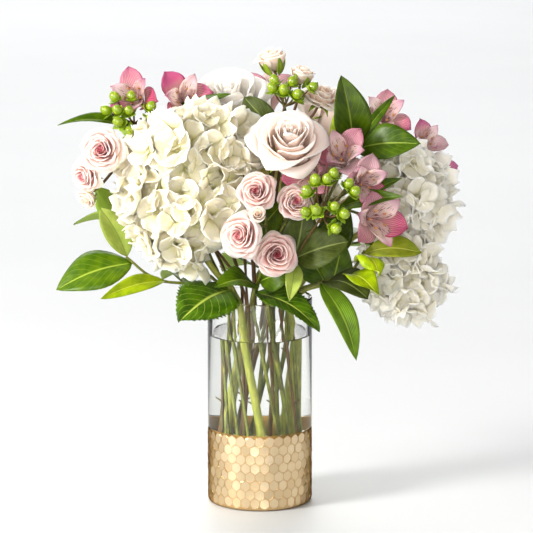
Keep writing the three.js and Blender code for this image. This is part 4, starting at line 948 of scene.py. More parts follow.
for name, lobes, seed, shrink_above, slot_name, finish in HEADS:
    parts = [part for lobe in lobes for part in mophead(*lobe, seed, shrink_above)]
    head = join_as(name + "_florets", parts, name, finish)
    print(head.name, len(parts) - 1, "florets", len(head.data.polygons), "faces")
remove(*florets)

# %% [markdown]
# A rose is built from the inside out. Its heart is a tight spiral of petals that wrap past one
# another, and each further layer is wider, lower and more open, with its lip rolled back. A petal
# is a sheet bent round the rose's axis: one side lies further in than the other, so every petal
# tucks under its neighbour.

# %% Rose petals
def rose_petal(size, radius, top, half_angle, roll, turn, base=-0.5, skew=0.1, tip=0.05, grain=12, wave=0.0,
               wall=0.5):
    """A petal in bloom sizes: lip radius, lip height, half the angle it spans, and how it rolls."""
    def place(across, along):
        v = along * (1 - 0.06 * across ** 2 - 0.16 * across ** 4) * (1 + tip * (1 - abs(across)) ** 1.5)
        bowl = 0.06 + (radius - 0.06) * (1 - max(0, 1 - v) ** 2.3)
        rise = base + (top - base) * v ** 1.1
        past = max(0, v - 0.75) / 0.25
        edge = max(0, abs(across) - 0.6) / 0.4
        ripple = wave * math.sin(4.3 * across + turn * 3) * v ** 3
        out = bowl * (1 + skew * across) + roll * (past ** 2 + 0.5 * edge ** 2 * v) + ripple
        rise -= roll * 0.75 * past ** 3 + 0.6 * ripple
        angle = turn + across * math.radians(half_angle) * (0.6 + 0.4 * min(1, along * 1.6))
        return (size * out * math.cos(angle), size * out * math.sin(angle), size * rise)
    return add_sheet(grain, grain, place, wall)


# Each layer: how many petals, lip radius, lip height, half angle, roll of the lip, skew.
FULL_ROSE = [
    (2, 0.05, 0.5, 120, 0.0, 0.3), (3, 0.1, 0.55, 85, 0.0, 0.26), (3, 0.17, 0.59, 78, 0.01, 0.22),
    (3, 0.25, 0.61, 74, 0.03, 0.2), (3, 0.36, 0.61, 74, 0.05, 0.16), (3, 0.5, 0.57, 72, 0.08, 0.13),
    (3, 0.64, 0.48, 72, 0.12, 0.11), (3, 0.76, 0.34, 74, 0.18, 0.08), (3, 0.84, 0.12, 70, 0.2, 0.06)]
TALL_ROSE = [
    (2, 0.06, 0.6, 110, 0.0, 0.3), (3, 0.14, 0.66, 80, 0.01, 0.26), (3, 0.26, 0.7, 75, 0.03, 0.22),
    (3, 0.42, 0.74, 72, 0.06, 0.16), (4, 0.62, 0.72, 62, 0.12, 0.12), (4, 0.84, 0.6, 58, 0.2, 0.1),
    (5, 0.96, 0.36, 50, 0.22, 0.08)]
SPRAY_ROSE = [
    (2, 0.06, 0.3, 120, 0.0, 0.3), (3, 0.13, 0.36, 85, 0.01, 0.26), (3, 0.22, 0.4, 78, 0.02, 0.22),
    (4, 0.33, 0.41, 62, 0.03, 0.18), (4, 0.46, 0.38, 60, 0.05, 0.15), (5, 0.62, 0.3, 50, 0.09, 0.12),
    (5, 0.8, 0.16, 48, 0.13, 0.1), (5, 0.92, -0.04, 44, 0.15, 0.08)]
ROSE_BUD = [(2, 0.12, 1.15, 120, 0.0, 0.3), (3, 0.34, 1.2, 85, 0.05, 0.26), (3, 0.6, 1.12, 80, 0.1, 0.2),
            (3, 0.82, 0.95, 74, 0.14, 0.14)]


def rose(layers, size, seed, grain=12, base=-0.62, wall=0.5, loose=0.03):
    """All petals of one rose, opening towards +Z round its own middle."""
    draw = random.Random(seed)
    petals = []
    for level, (count, radius, top, half_angle, roll, skew) in enumerate(layers):
        for i in range(count):
            turn = level * 0.9 + 2 * math.pi * i / count + draw.uniform(-0.14, 0.14)
            sheet = rose_petal(size, radius * draw.uniform(0.94, 1.06), top + draw.uniform(-loose, loose), half_angle,
                               roll * draw.uniform(0.8, 1.3), turn, base, skew, draw.uniform(0.02, 0.12), grain,
                               draw.uniform(0, loose), wall)
            petals.append(copy_of(sheet, Matrix(), level / (len(layers) - 1)))
            remove(sheet)
    return petals


def join_parts(parts):
    bpy.ops.object.select_all(action="DESELECT")
    for part in parts:
        part.select_set(True)
    bpy.context.view_layer.objects.active = parts[0]
    bpy.ops.object.join()
    return parts[0]


blush_petals = petal_material("blush_rose", tone(0xf0c3a6), tone(0xf8e2d3), tone(0xfff4ea), reach=0.9, lip_width=0.05,
                              veins=0.02, spread=0.05, bump=0.06, roughness=0.5, glow=0.45)
ivory_petals = petal_material("ivory_rose", tone(0xf1e5cc), tone(0xfaf4ea), tone(0xfffcf8), reach=0.7, lip_width=0.05,
                              veins=0.04, spread=0.05, bump=0.1, roughness=0.45, glow=0.45)
ROSES = [("rose_front", (27, -70, 363), (0.06, -0.68, 0.72), 32.5, FULL_ROSE, blush_petals),
         ("rose_top", (-31, 49, 382), (-0.1, -0.5, 0.85), 36, TALL_ROSE, ivory_petals),
         ("rose_back", (75, 88, 368), (0.35, 0.55, 0.75), 37, FULL_ROSE, blush_petals)]
for n, (name, place, look, size, layers, finish) in enumerate(ROSES):
    petals = rose(layers, size, n + 5, 14, -0.95 if layers is FULL_ROSE else -0.72)
    for part in petals:
        part.data.transform(facing(place, look))
    bloom = join_as(name + "_petals", petals, name, finish)
    print(bloom.name, len(bloom.data.polygons), "faces")

# %% [markdown]
# The small spray roses are packed tighter and blush deep pink at the heart. Three are modelled,
# and the blooms of the sprays are copies of them at their own sizes and turns. A bud is the same
# thing still closed, held by five long sepals.

# %% Spray roses and buds
spray_patterns = [join_parts(rose(SPRAY_ROSE, 1, seed, 10, -0.5, 0.025, 0.045)) for seed in (51, 52, 53)]
bud_pattern = join_parts(rose(ROSE_BUD, 1, 61, 10, -0.1, 0.045))


def spray_material(name, heart, root, body, lip):
    """Deep at the heart of the bloom, pale outside: the petal's own number says how far out it is."""
    mat = petal_material(name, root, body, lip, reach=0.95, lip_width=0.12, veins=0.06, spread=0.05, bump=0.1)
    tree = mat.node_tree
    finish, shader = tree.nodes["Group"], tree.nodes["Principled BSDF"]
    own = add_node(tree, "ShaderNodeAttribute", (-900, 500), attribute_name="tint")
    outer = ease(tree, own.outputs["Fac"], 0.08, 0.62, (-700, 500))
    warmed = blend_colour(tree, outer, heart, finish.outputs["Color"], (-100, 400))
    wire(tree, warmed, shader.inputs["Base Color"])
    return mat


deep_spray = spray_material("deep_hearted_spray", tone(0xa82c3c), tone(0xd87470), tone(0xf4c2b4), tone(0xffe9de))
pale_spray = spray_material("pale_hearted_spray", tone(0xc95561), tone(0xde8a80), tone(0xf6cdbf), tone(0xffeee4))
peach_bud = spray_material("peach_bud", tone(0xeec39f), tone(0xe8b892), tone(0xf7dfc9), tone(0xfff2e4))
SPRAY_BLOOMS = [
    ("spray_rose_front_1", (-3, -92, 319), (-0.2, -0.95, 0.35), 17, 0.3, deep_spray),
    ("spray_rose_front_2", (33, -85, 308), (0.3, -0.9, 0.3), 16, 1.4, pale_spray),
    ("spray_rose_front_3", (-18, -96, 278), (-0.4, -0.9, 0.15), 20, 2.2, pale_spray),
    ("spray_rose_front_4", (16, -85, 258), (0.1, -0.97, 0.1), 19, 3.1, deep_spray),
    ("spray_rose_left_1", (-149, -57, 353), (-0.2, -0.95, 0.2), 20, 0.9, pale_spray),
    ("spray_rose_left_2", (-166, -41, 326), (-0.6, -0.75, -0.1), 16, 0.1, pale_spray),
    ("spray_rose_top", (60, 12, 396), (0.25, -0.3, 0.9), 19, 2.7, peach_bud),
    ("spray_rose_back_1", (-40, 138, 320), (0.1, 0.95, 0.3), 20, 1.1, pale_spray),
    ("spray_rose_back_2", (-70, 120, 344), (-0.4, 0.5, 0.8), 19, 0.7, deep_spray)]
for i, (name, place, look, size, spin, finish) in enumerate(SPRAY_BLOOMS):
    bloom = bpy.data.objects.new(name, spray_patterns[i % 3].data.copy())
    bpy.context.collection.objects.link(bloom)
    bloom.data.transform(facing(place, look, spin, size))
    join_as(name + "_petals", [bloom], name, finish)

BUDS = [("spray_rose_front_stem", (-2, -107, 298), (0, -0.9, 0.4), 8),
        ("spray_rose_left_stem", (-160, -33, 308), (-0.5, -0.6, -0.5), 11),
        ("spray_rose_top_stem", (14, 12, 422), (-0.25, -0.1, 0.95), 16),
        ("spray_rose_top_stem", (39, 5, 410), (0.2, -0.1, 1), 13)]
bud_parts = {}
for i, (owner, place, look, size) in enumerate(BUDS):
    bud = bpy.data.objects.new("bud", bud_pattern.data.copy())
    bpy.context.collection.objects.link(bud)
    bud.data.transform(facing(place, look, i * 1.3, size))
    bud_parts.setdefault(owner, []).append(bud)
for owner, parts in bud_parts.items():
    join_as(owner.replace("_stem", "_buds"), parts, owner, peach_bud)
print("spray roses", len(SPRAY_BLOOMS), "buds", len(BUDS))

# %% [markdown]
# Sepals are narrow green blades that spread from under a bud or a bloom. One is modelled as a
# folded sheet with a drawn-out tip, and five copies are set round each foot.

# %% Sepals
def sepal(across, along):
    half = 0.2 * math.sin(math.pi * along ** 0.7) ** 0.9
    return (half * across, 0.3 + 0.42 * math.sin(along * 1.9), -0.35 + 1.15 * along - 0.1 * abs(across) * half)


def droopy_sepal(across, along):
    half = 0.17 * math.sin(math.pi * along ** 0.6) ** 0.9
    return (half * across, 0.1 + 0.8 * along, -0.68 + 0.3 * math.sin(along * 2.4) - 0.3 * along ** 2)


leaf_green = leaf_material("sepal_green", tone(0x8a9e28), tone(0x5f7a14), tone(0xb4c058), side_veins=4, strength=0.2)
hugging, drooping = add_sheet(4, 8, sepal, 0.035), add_sheet(4, 8, droopy_sepal, 0.035)


def add_sepals(owner, pattern, place, look, size, count=5):
    for k in range(count):
        spin = Matrix.Rotation(2 * math.pi * k / count, 4, "Z")
        blade = copy_of(pattern, facing(place, look, 0, size) @ spin, 0.3 + 0.1 * (k % 3))
        leaf_parts.setdefault(owner, []).append((blade, leaf_green))


leaf_parts = {}
for owner, place, look, size in BUDS:
    add_sepals(owner, hugging, place, look, size * 1.1)
for name, place, look, size, spin, finish in SPRAY_BLOOMS:
    owner = "spray_rose_" + name.split("_")[2] + "_stem"
    add_sepals(owner, drooping, place, look, size * 0.95)
for name, place, look, size, layers, finish in ROSES:
    add_sepals(name + "_stem", drooping, place, look, size * 0.9)
remove(*spray_patterns, bud_pattern, hugging, drooping)
print("sepals on", sorted(leaf_parts))

# %% [markdown]
# An alstroemeria is a small lily: three broad outer petals and three narrower inner ones leave a
# funnel and curve outwards. The inner ones are freckled with dark streaks over a yellow patch.
# Each petal follows a curve of four handles, given as distance from the axis and height.

# %% Alstroemeria petals and stamens
def arc(handles, t):
    """A point on a Bezier curve of four (radius, height) handles."""
    a, b, c, d = [Vector(h) for h in handles]
    return (1 - t) ** 3 * a + 3 * (1 - t) ** 2 * t * b + 3 * (1 - t) * t * t * c + t ** 3 * d


def lily_petal(handles, width, widest, fold, ripple=0.02):
    power = math.log(0.5) / math.log(widest)
    def place(across, along):
        radius, height = arc(handles, along)
        half = width / 2 * max(0.16 * (1 - along), math.sin(math.pi * along ** power) ** 0.75)
        lift = fold * abs(across) ** 1.6 * half + ripple * math.sin(9 * along + 2 * across) * abs(across)
        return (half * across, radius - 0.4 * lift, height + lift)
    return add_sheet(6, 10, place, 0.02)


outer_petal = lily_petal([(0.04, -0.55), (0.2, 0.1), (0.5, 0.5), (1.0, 0.66)], 0.84, 0.64, 0.34, 0.05)
inner_petal = lily_petal([(0.03, -0.5), (0.12, 0.25), (0.34, 0.62), (0.76, 0.96)], 0.56, 0.6, 0.34, 0.05)
bpy.ops.object.select_all(action="DESELECT")
bpy.ops.mesh.primitive_uv_sphere_add(segments=8, ring_count=6, radius=0.05)
anther = bpy.context.object
bpy.ops.object.mode_set(mode="EDIT")
bpy.ops.mesh.select_all(action="SELECT")
bpy.ops.transform.resize(value=(0.75, 0.75, 1.7))
bpy.ops.object.mode_set(mode="OBJECT")
bpy.ops.object.shade_smooth()
filament = add_stem([(0, -100, -300), (0, 30, 150), (0, 150, 430), (0, 270, 600)], 14, 10, 2)


def streaked_material(name, root, body, lip, patch, freckle):
    """Inner petals: the petal finish with a yellow patch and dark dashes that run along the petal."""
    mat = petal_material(name, root, body, lip, reach=0.45, lip_width=0.2, veins=0.25, spread=0.1, bump=0.2)
    tree = mat.node_tree
    finish, shader = tree.nodes["Group"], tree.nodes["Principled BSDF"]
    uv = add_node(tree, "ShaderNodeUVMap", (-1300, 600), uv_map="UVMap")
    stretch = add_node(tree, "ShaderNodeMapping", (-1100, 600))
    stretch.inputs["Scale"].default_value = (16, 4.5, 1)
    dash = add_node(tree, "ShaderNodeTexNoise", (-900, 600))
    dash.inputs["Scale"].default_value = 1
    axes = add_node(tree, "ShaderNodeSeparateXYZ", (-1100, 900))
    wire(tree, uv.outputs[0], stretch.inputs[0])
    wire(tree, stretch.outputs[0], dash.inputs["Vector"])
    wire(tree, uv.outputs[0], axes.inputs[0])
    low, high = ease(tree, axes.outputs[1], 0.2, 0.34, (-700, 900)), ease(tree, axes.outputs[1], 0.92, 0.62, (-700, 1050))
    zone = maths(tree, "MULTIPLY", low, high, (-500, 900))
    marks = maths(tree, "MULTIPLY", ease(tree, dash.outputs["Fac"], 0.56, 0.62, (-700, 600)), zone, (-300, 700))
    patched = blend_colour(tree, maths(tree, "MULTIPLY", zone, 0.5, (-300, 900)), finish.outputs["Color"], patch, (-200, 400))
    wire(tree, blend_colour(tree, marks, patched, freckle, (0, 400)), shader.inputs["Base Color"])
    return mat


pink_lily = petal_material("pink_alstroemeria", tone(0xe6c0bc), tone(0xb4637a), tone(0x842e4a), reach=0.8, lip_width=0.3,
                           veins=0.45, spread=0.25, bump=0.3, glow=0.2)
streaked_lily = streaked_material("streaked_alstroemeria", tone(0xecd6cb), tone(0xca869c), tone(0x8e3654),
                                  tone(0xe4cba8), tone(0x54152a))
anther_mat, tree, shader = node_material("anther_brown", 0.7)
dust = add_node(tree, "ShaderNodeTexNoise", (-500, 0))
dust.inputs["Scale"].default_value = 900
place = add_node(tree, "ShaderNodeTexCoord", (-700, 0))
wire(tree, place.outputs["Object"], dust.inputs["Vector"])
wire(tree, blend_colour(tree, dust.outputs["Fac"], tone(0x9a5a2a), tone(0xd9a05a), (-200, 0)), shader.inputs["Base Color"])
outer_petal.data.materials.append(pink_lily)
inner_petal.data.materials.append(streaked_lily)
filament.data.materials.append(pink_lily)
anther.data.materials.append(anther_mat)
print("lily petals", len(outer_petal.data.polygons), "faces each")

# %% Alstroemeria blooms
LILIES = [
    ("alstroemeria_left_1", (-117, 24, 391), (-0.25, -0.9, 0.35), 30),
    ("alstroemeria_left_2", (-74, 26, 389), (0.1, -0.95, 0.35), 31),
    ("alstroemeria_centre_1", (79, -44, 341), (-0.1, -0.8, 0.55), 30),
    ("alstroemeria_centre_2", (95, -60, 323), (0.3, -0.9, 0.25), 27),
    ("alstroemeria_centre_3", (103, -64, 289), (0.4, -0.85, 0.1), 31),
    ("alstroemeria_centre_4", (55, -50, 328), (-0.4, -0.85, 0.25), 29),
    ("alstroemeria_right_1", (120, 32, 369), (0.1, -0.8, 0.55), 27),
    ("alstroemeria_right_2", (157, 48, 344), (0.4, -0.75, 0.5), 22),
    ("alstroemeria_right_3", (169, 60, 314), (0.6, -0.7, 0.2), 22),
    ("alstroemeria_back", (10, 108, 379), (0, 0.6, 0.75), 30)]
for n, (name, place, look, size) in enumerate(LILIES):
    draw = random.Random(n + 90)
    parts = []
    deeper = 0.4 if name.startswith("alstroemeria_left") else 0
    for i in range(6):
        pattern = inner_petal if i % 2 else outer_petal
        droop = Matrix.Rotation(draw.uniform(-0.16, 0.16), 4, "X") @ Matrix.Scale(draw.uniform(0.94, 1.06), 4)
        turn = Matrix.Rotation(math.pi / 3 * i + draw.uniform(-0.08, 0.08), 4, "Z")
        parts.append(copy_of(pattern, facing(place, look, n * 0.7, 1) @ Matrix.Scale(size * MM, 4) @ turn @ droop @ Matrix.Scale(1000, 4), draw.random() - deeper))
    for i in range(5):
        turn = Matrix.Rotation(math.pi * 2 / 5 * i + 0.4, 4, "Z")
        base = facing(place, look, n * 0.7, 1) @ Matrix.Scale(size, 4) @ turn
        parts.append(copy_of(filament, base @ Matrix.Scale(0.001, 4), 0.2))
        parts.append(copy_of(anther, base @ Matrix.Translation((0, 0.27 * MM, 0.62 * MM)) @ Matrix.Scale(MM, 4), 0.5))
    join_as(name + "_petals", parts, name, None)
remove(outer_petal, inner_petal, anther, filament)
print("alstroemeria blooms", len(LILIES))

# %% [markdown]
# Hypericum carries clusters of glossy lime berries. A berry is a sphere drawn out to a blunt tip
# with a dark speck on it, and sits in a star of five small leaves. It is modelled once and copied
# to the end of every stalk, each at its own size and tone.

# %% Hypericum berries
berry_skin, tree, shader = node_material("lime_berry", 0.18, 0.6)
shader.inputs["Coat Weight"].default_value = 0.4
shader.inputs["Coat Roughness"].default_value = 0.08
uv = add_node(tree, "ShaderNodeUVMap", (-1100, 200), uv_map="UVMap")
axes = add_node(tree, "ShaderNodeSeparateXYZ", (-900, 200))
wire(tree, uv.outputs[0], axes.inputs[0])
own = add_node(tree, "ShaderNodeAttribute", (-900, -100), attribute_name="tint")
skin = blend_colour(tree, own.outputs["Fac"], tone(0x5f7d04), tone(0x8fa414), (-500, 200))
place = add_node(tree, "ShaderNodeTexCoord", (-1100, -300))
bloom_noise = add_node(tree, "ShaderNodeTexNoise", (-900, -300))
bloom_noise.inputs["Scale"].default_value = 260
wire(tree, place.outputs["Object"], bloom_noise.inputs["Vector"])
patched = blend_colour(tree, ease(tree, bloom_noise.outputs["Fac"], 0.5, 0.85, (-700, -300)), skin, tone(0xbccb3c), (-300, 100))
tipped = blend_colour(tree, ease(tree, axes.outputs[1], 0.93, 0.98, (-700, 0)), patched, tone(0x6b4a2a), (-100, 100))
wire(tree, tipped, shader.inputs["Base Color"])

bpy.ops.object.select_all(action="DESELECT")
bpy.ops.mesh.primitive_uv_sphere_add(segments=14, ring_count=10, radius=1)
berry = bpy.context.object
bpy.ops.object.mode_set(mode="EDIT")
bpy.ops.mesh.select_all(action="SELECT")
bpy.ops.transform.resize(value=(1, 1, 1.14))
pick(berry, lambda co: co.z > 1100)
bpy.ops.transform.translate(value=(0, 0, 0.16))
bpy.ops.object.mode_set(mode="OBJECT")
bpy.ops.object.shade_smooth()
berry.data.materials.append(berry_skin)
berry_leaf = leaf_material("berry_leaf", tone(0x85a020), tone(0x5f7e12), tone(0xaebe50), side_veins=4, strength=0.2)


def berry_sepal(across, along):
    half = 0.62 * math.sin(math.pi * along ** 0.8) ** 0.8
    return (1000 * half * across, 1000 * (0.15 + 1.65 * along), 1000 * (-1.2 + 0.7 * along ** 2 + 0.3 * abs(across) * half))


star = add_sheet(4, 5, berry_sepal, 80, faces=(berry_leaf,))
parts = [copy_of(berry, Matrix(), 0.5)]
parts += [copy_of(star, Matrix.Rotation(2 * math.pi * i / 5, 4, "Z"), 0.4 + 0.1 * i) for i in range(5)]
berry_pattern = join_parts(parts)
remove(berry, star)

CLUSTERS = {
    "hypericum_left": ((-118, 5, 365), (0, -0.5, 0.85), [
        (-139, -2, 397), (-123, 4, 397), (-147, -10, 385), (-136, -14, 386), (-125, -12, 385), (-104, -4, 388),
        (-104, -12, 378), (-135, -18, 375), (-124, -20, 367), (-110, -18, 366)]),
    "hypericum_top": ((22, -14, 381), (0, -0.4, 0.9), [
        (14, -16, 415), (12, -20, 408), (31, -12, 413), (23, -22, 406), (36, -24, 402), (51, -14, 408),
        (22, 2, 404), (38, 0, 398)]),
    "hypericum_centre": ((56, -80, 288), (0.1, -0.8, 0.6), [
        (52, -98, 331), (63, -100, 332), (69, -98, 337), (83, -96, 327), (89, -98, 320), (70, -104, 307),
        (79, -106, 300), (43, -98, 301), (53, -102, 303), (71, -104, 286), (44, -100, 321)]),
    "hypericum_back": ((-98, 84, 321), (-0.4, 0.4, 0.8), [
        (-112, 96, 350), (-124, 88, 342), (-104, 106, 342), (-126, 102, 334), (-116, 112, 330), (-98, 92, 352),
        (-132, 92, 352)])}
for n, (name, (fork, look, spots)) in enumerate(CLUSTERS.items()):
    draw = random.Random(n + 300)
    berries = []
    crown = Vector(fork) + 0.3 * (sum((Vector(s) for s in spots), Vector()) / len(spots) - Vector(fork))
    for spot in spots:
        place = Vector(spot)
        away = (place - crown).normalized()
        size = draw.uniform(4.5, 5.4)
        berries.append(copy_of(berry_pattern, facing(place, away + 0.25 * UP, draw.uniform(0, 6), size * MM), draw.random()))
        middle = crown.lerp(place, 0.5) + Vector((0, 0, -2)) + 0.12 * (place - crown).cross(UP)
        path = smooth_path([Vector(fork), crown, middle, place - away * size * 1.0], 9)
        stem_parts[name].append(add_stem(path, 1.1, 0.75, 2))
    cluster = join_as(name + "_berries", berries, name, None)
    print(cluster.name, len(spots), "berries")
remove(berry_pattern)

# %% [markdown]
# No two leaves here are alike, so each is grown from its own root and tip. The half width follows
# a sine that is pushed towards the root or the tip, the two halves fold up along the midrib, the
# blade arches, and its edge may wave, curl over or carry teeth. The upper face and the underside
# have finishes of their own: undersides are paler and duller.

# %% Leaves
BLADE = 0.45


def add_leaf(root, tip, face, width, arch=8, fold=0.25, widest=0.45, wave=1.0, curl=0.0, roll=0.0, teeth=0.0,
             pucker=0.0, sharp=0.8, twist=0.0, finishes=(), rows=16, columns=8, phase=0.0):
    root, tip, face = Vector(root), Vector(tip), Vector(face).normalized()
    run = tip - root
    forward = run.normalized()
    face = (face - forward * face.dot(forward)).normalized()
    side = forward.cross(face)
    power = math.log(0.5) / math.log(widest)

    def place(across, along):
        half = width / 2 * max(0.03, math.sin(math.pi * min(1, along) ** power)) ** sharp if along > 0 else 0.3
        if along > 0.999:
            half = 0
        notch = 1 - teeth * abs((along * rows / 2) % 1 - 0.5) * 2 * abs(across) ** 3
        turn = twist * along
        right, up = side * math.cos(turn) + face * math.sin(turn), face * math.cos(turn) - side * math.sin(turn)
        lift = fold * half * abs(across) - 0.5 * math.exp(-(across / 0.13) ** 2)
        lift += wave * math.sin(along * 9 + phase + 1.5 * across) * abs(across) ** 1.5
        lift -= roll * half * abs(across) ** 3
        lift += pucker * abs(math.sin(math.pi * (along * 9 - abs(across) * 3))) * min(1, 3 * abs(across))
        bend = arch * math.sin(math.pi * along) - curl * run.length * max(0, along - 0.55) ** 2
        return root + run * along + face * bend + up * lift + right * half * across * notch
    return add_sheet(columns, rows, place, BLADE, faces=finishes)


def leaf_pair(name, blade, dark, vein, under, **settings):
    """The finishes of a leaf's face and of its paler underside."""
    top = leaf_material(name, tone(blade), tone(dark), tone(vein), **settings)
    soft = dict(settings, roughness=0.6, coat=0, bump=0.5)
    below = leaf_material(name + "_underside", tone(under), tone(under), tone(vein), **soft)
    return top, below


glossy = leaf_pair("glossy_leaf", 0x5b7800, 0x3f6000, 0x9cb23c, 0x93ab48, side_veins=8, slant=2.4, strength=0.35, roughness=0.3, coat=0.06)
dark = leaf_pair("dark_glossy_leaf", 0x4a6200, 0x334800, 0x7f922c, 0x92a468, side_veins=8, slant=2.4, strength=0.3, roughness=0.3, coat=0.06)
deep = leaf_pair("deep_leaf", 0x466000, 0x2f4700, 0x84983a, 0x788c38, side_veins=8, slant=2.4, strength=0.3, roughness=0.36)
bluish = leaf_pair("rose_leaf", 0x47521e, 0x323c10, 0x747e44, 0x7f8c50, side_veins=7, slant=2, strength=0.3, roughness=0.45)
quilted = leaf_pair("hydrangea_leaf", 0x4a6c04, 0x294800, 0xa8b84c, 0x7c9438, side_veins=9, slant=3, strength=0.5, roughness=0.38)
strap = leaf_pair("strap_leaf", 0x53760a, 0x395804, 0x8aa038, 0x779238, side_veins=9, slant=3, strength=0.45, straight=1, roughness=0.35)
lime = leaf_pair("lime_leaf", 0x9cb006, 0x789004, 0xcdd650, 0xbbc65c, side_veins=7, slant=2.5, strength=0.3, roughness=0.33)
olive = leaf_pair("olive_leaf", 0x8a9120, 0x6c7814, 0xb0b454, 0xa3a859, side_veins=7, slant=2.5, strength=0.25, roughness=0.4)
pale = leaf_pair("pale_leaf", 0xa2b050, 0x8b9e40, 0x768c3a, 0x779130, side_veins=8, slant=2.4, strength=0.4, roughness=0.6)

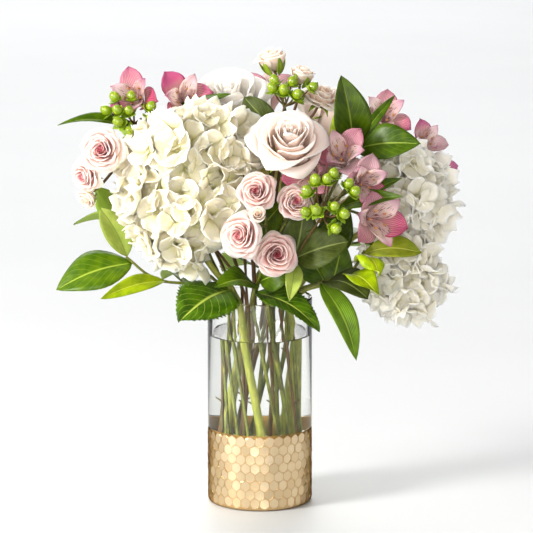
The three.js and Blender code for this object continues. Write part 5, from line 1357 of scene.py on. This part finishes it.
SERRATED = {"arch": 8, "fold": 0.2, "teeth": 0.12, "rows": 44, "columns": 12, "pucker": 1.1, "wave": 1.6}
NARROW = {"arch": 6, "fold": 0.35, "wave": 0.6}
LEAVES = [
    ("greenery_left", glossy, (-122, -28, 240), (-194, -45, 217), (0.1, -0.62, 0.75), 46, {"roll": 0.2}),
    ("greenery_left", pale, (-127, -28, 246), (-154, -5, 288), (0.4, -0.8, 0.2), 30, {"curl": -0.3}),
    ("greenery_left", lime, (-90, -24, 222), (-151, -66, 212), (0, -0.6, 0.8), 18, {**NARROW, "twist": 0.9}),
    ("greenery_left", deep, (-70, -18, 217), (-96, 30, 214), (0, 0.3, 0.9), 26, {}),
    ("hydrangea_left_stem", quilted, (-28, -28, 214), (-76, -86, 194), (-0.15, -0.75, 0.65), 62, {**SERRATED, "roll": 0.2}),
    ("spray_rose_front_stem", quilted, (-4.5, -37.5, 213), (57, -82, 187), (0.2, -0.5, 0.85), 38, {**SERRATED, "curl": 0.2}),
    ("spray_rose_front_stem", deep, (-3, -41, 220), (-42, -78, 226), (0, -0.6, 0.8), 32, {**SERRATED, "pucker": 0.3}),
    ("spray_rose_front_stem", deep, (0, -43, 225), (36, -62, 240), (0.1, -0.9, 0.3), 30, {}),
    ("rose_front_stem", dark, (17, -34, 272), (52, -26, 238), (0.2, -0.95, 0.2), 30, {}),
    ("rose_front_stem", dark, (21, -34, 298), (-6, -36, 264), (-0.1, -0.95, 0.2), 28, {}),
    ("hydrangea_right_upper_stem", dark, (60, 10, 238), (86, 8, 288), (0, -1, 0.1), 36, {}),
    ("hydrangea_right_lower_stem", dark, (70, -9, 216), (80, -26, 262), (0, -1, 0.2), 32, {}),
    ("hydrangea_right_lower_stem", deep, (64, -8, 216), (42, -9, 254), (0, -1, 0.1), 32, {}),
    ("hypericum_left", deep, (-116, 6, 364), (-190, -26, 378), (0, -0.5, 0.85), 15, {**NARROW, "curl": 0.4}),
    ("alstroemeria_left_stem", deep, (-98, 34, 365), (-27.7, 1.5, 399.5), (-0.3, -0.7, 0.6), 14, NARROW),
    ("hypericum_top", bluish, (20, -14, 362), (-15, -12, 398), (-0.3, -0.9, 0.3), 26, {"widest": 0.55, "sharp": 0.6}),
    ("greenery_top", dark, (89, -21, 350), (77, -32, 421), (0.2, -0.9, 0.2), 37, {"fold": 0.5, "wave": 0.5}),
    ("greenery_top", lime, (80, -15, 340), (72, -20, 384), (-0.3, -0.9, 0.2), 15, {}),
    ("greenery_top", deep, (91, -21, 349), (152, -50, 358), (0, -0.85, 0.5), 37, {"widest": 0.5}),
    ("greenery_top", deep, (88, -18, 348), (130, 4, 398), (0.2, -0.7, 0.6), 11, NARROW),
    ("alstroemeria_centre_stem", deep, (83, -45, 294), (133.8, -68.7, 328.1), (0, -0.7, 0.7), 16, NARROW),
    ("alstroemeria_centre_stem", deep, (75, -42, 296), (133.7, -86.5, 313.4), (0.1, -0.8, 0.5), 18, NARROW),
    ("greenery_right", olive, (98, -50, 253), (153, -62, 256), (0.1, -0.7, 0.7), 27, {"widest": 0.55}),
    ("greenery_right", lime, (94, -52, 248), (112, -88, 240), (0.5, -0.6, 0.6), 28, {"roll": 0.5, "wave": 3}),
    ("greenery_right", lime, (80, -52, 234), (112, -86, 219), (0.2, -0.6, 0.8), 26, {"wave": 2.5}),
    ("greenery_right", bluish, (62, -48, 226), (102, -86, 216), (0.1, -0.5, 0.85), 40, {"widest": 0.5, "sharp": 0.65}),
    ("greenery_right", strap, (58, -46, 224), (92, -64, 152), (0.5, -0.85, 0.1), 26, {**NARROW, "arch": 12, "widest": 0.4}),
    ("hypericum_centre", bluish, (30, -52, 240), (42.3, -62.8, 302.3), (0.2, -0.95, 0.1), 38, {"sharp": 0.65}),
    ("hypericum_centre", bluish, (34, -58, 250), (84, -70, 268), (0, -0.9, 0.4), 38, {"sharp": 0.65}),
    ("hypericum_centre", pale, (33, -56, 246), (27.2, -83.7, 212.5), (0.2, -0.9, 0.3), 17, {**NARROW, "curl": -0.3}),
    ("greenery_back_left", glossy, (-124, 50, 260), (-184, 66, 262), (-0.1, 0.3, 0.9), 34, {}),
    ("greenery_back_left", deep, (-110, 45, 250), (-150, 100, 246), (0, 0.4, 0.9), 34, {}),
    ("greenery_back_left", glossy, (-84, 36, 239), (-98, 112, 226), (0, 0.5, 0.85), 38, {}),
    ("greenery_back_left", pale, (-126, 51, 261), (-158, 30, 304), (-0.7, 0.3, 0.5), 28, {"curl": -0.2}),
    ("greenery_back_right", glossy, (108, 82, 254), (160, 112, 262), (0.1, 0.3, 0.9), 34, {}),
    ("greenery_back_right", deep, (96, 76, 248), (112, 140, 236), (0.1, 0.6, 0.8), 36, {}),
    ("greenery_back_right", deep, (80, 68, 240), (148, 60, 222), (0.2, 0, 0.95), 32, {}),
    ("hydrangea_back_stem", quilted, (4, 44, 220), (-38, 116, 206), (0, 0.5, 0.85), 48, SERRATED),
    ("hydrangea_back_stem", quilted, (5, 46, 222), (62, 124, 210), (0, 0.5, 0.85), 48, SERRATED),
]
draw = random.Random(7)
for owner, finishes, root, tip, face, width, shape in LEAVES:
    blade = add_leaf(root, tip, face, width, finishes=finishes, phase=draw.uniform(0, 6), **shape)
    leaf_parts.setdefault(owner, []).append((copy_of(blade, Matrix(), draw.random()), None))
    remove(blade)
print("leaves", len(LEAVES))

# %% [markdown]
# Last, the parts of each stem are gathered into pieces: the round stem itself, and the leaves and
# sepals that it carries. Both stand for the same solid of the frame.


for owner, parts in stem_parts.items():
    bark = woody_stem if owner in WOODY else thick_stem if owner.startswith("hydrangea") else green_stem
    join_as(owner + "_round", parts, owner, bark)
for owner, blades in leaf_parts.items():
    for blade, finish in blades:
        if finish is not None:
            blade.data.materials.clear()
            blade.data.materials.append(finish)
    join_as(owner + "_leaves", [blade for blade, finish in blades], owner, None)
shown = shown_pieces()
print("pieces", len(shown), "faces", sum(len(o.data.polygons) for o in shown))
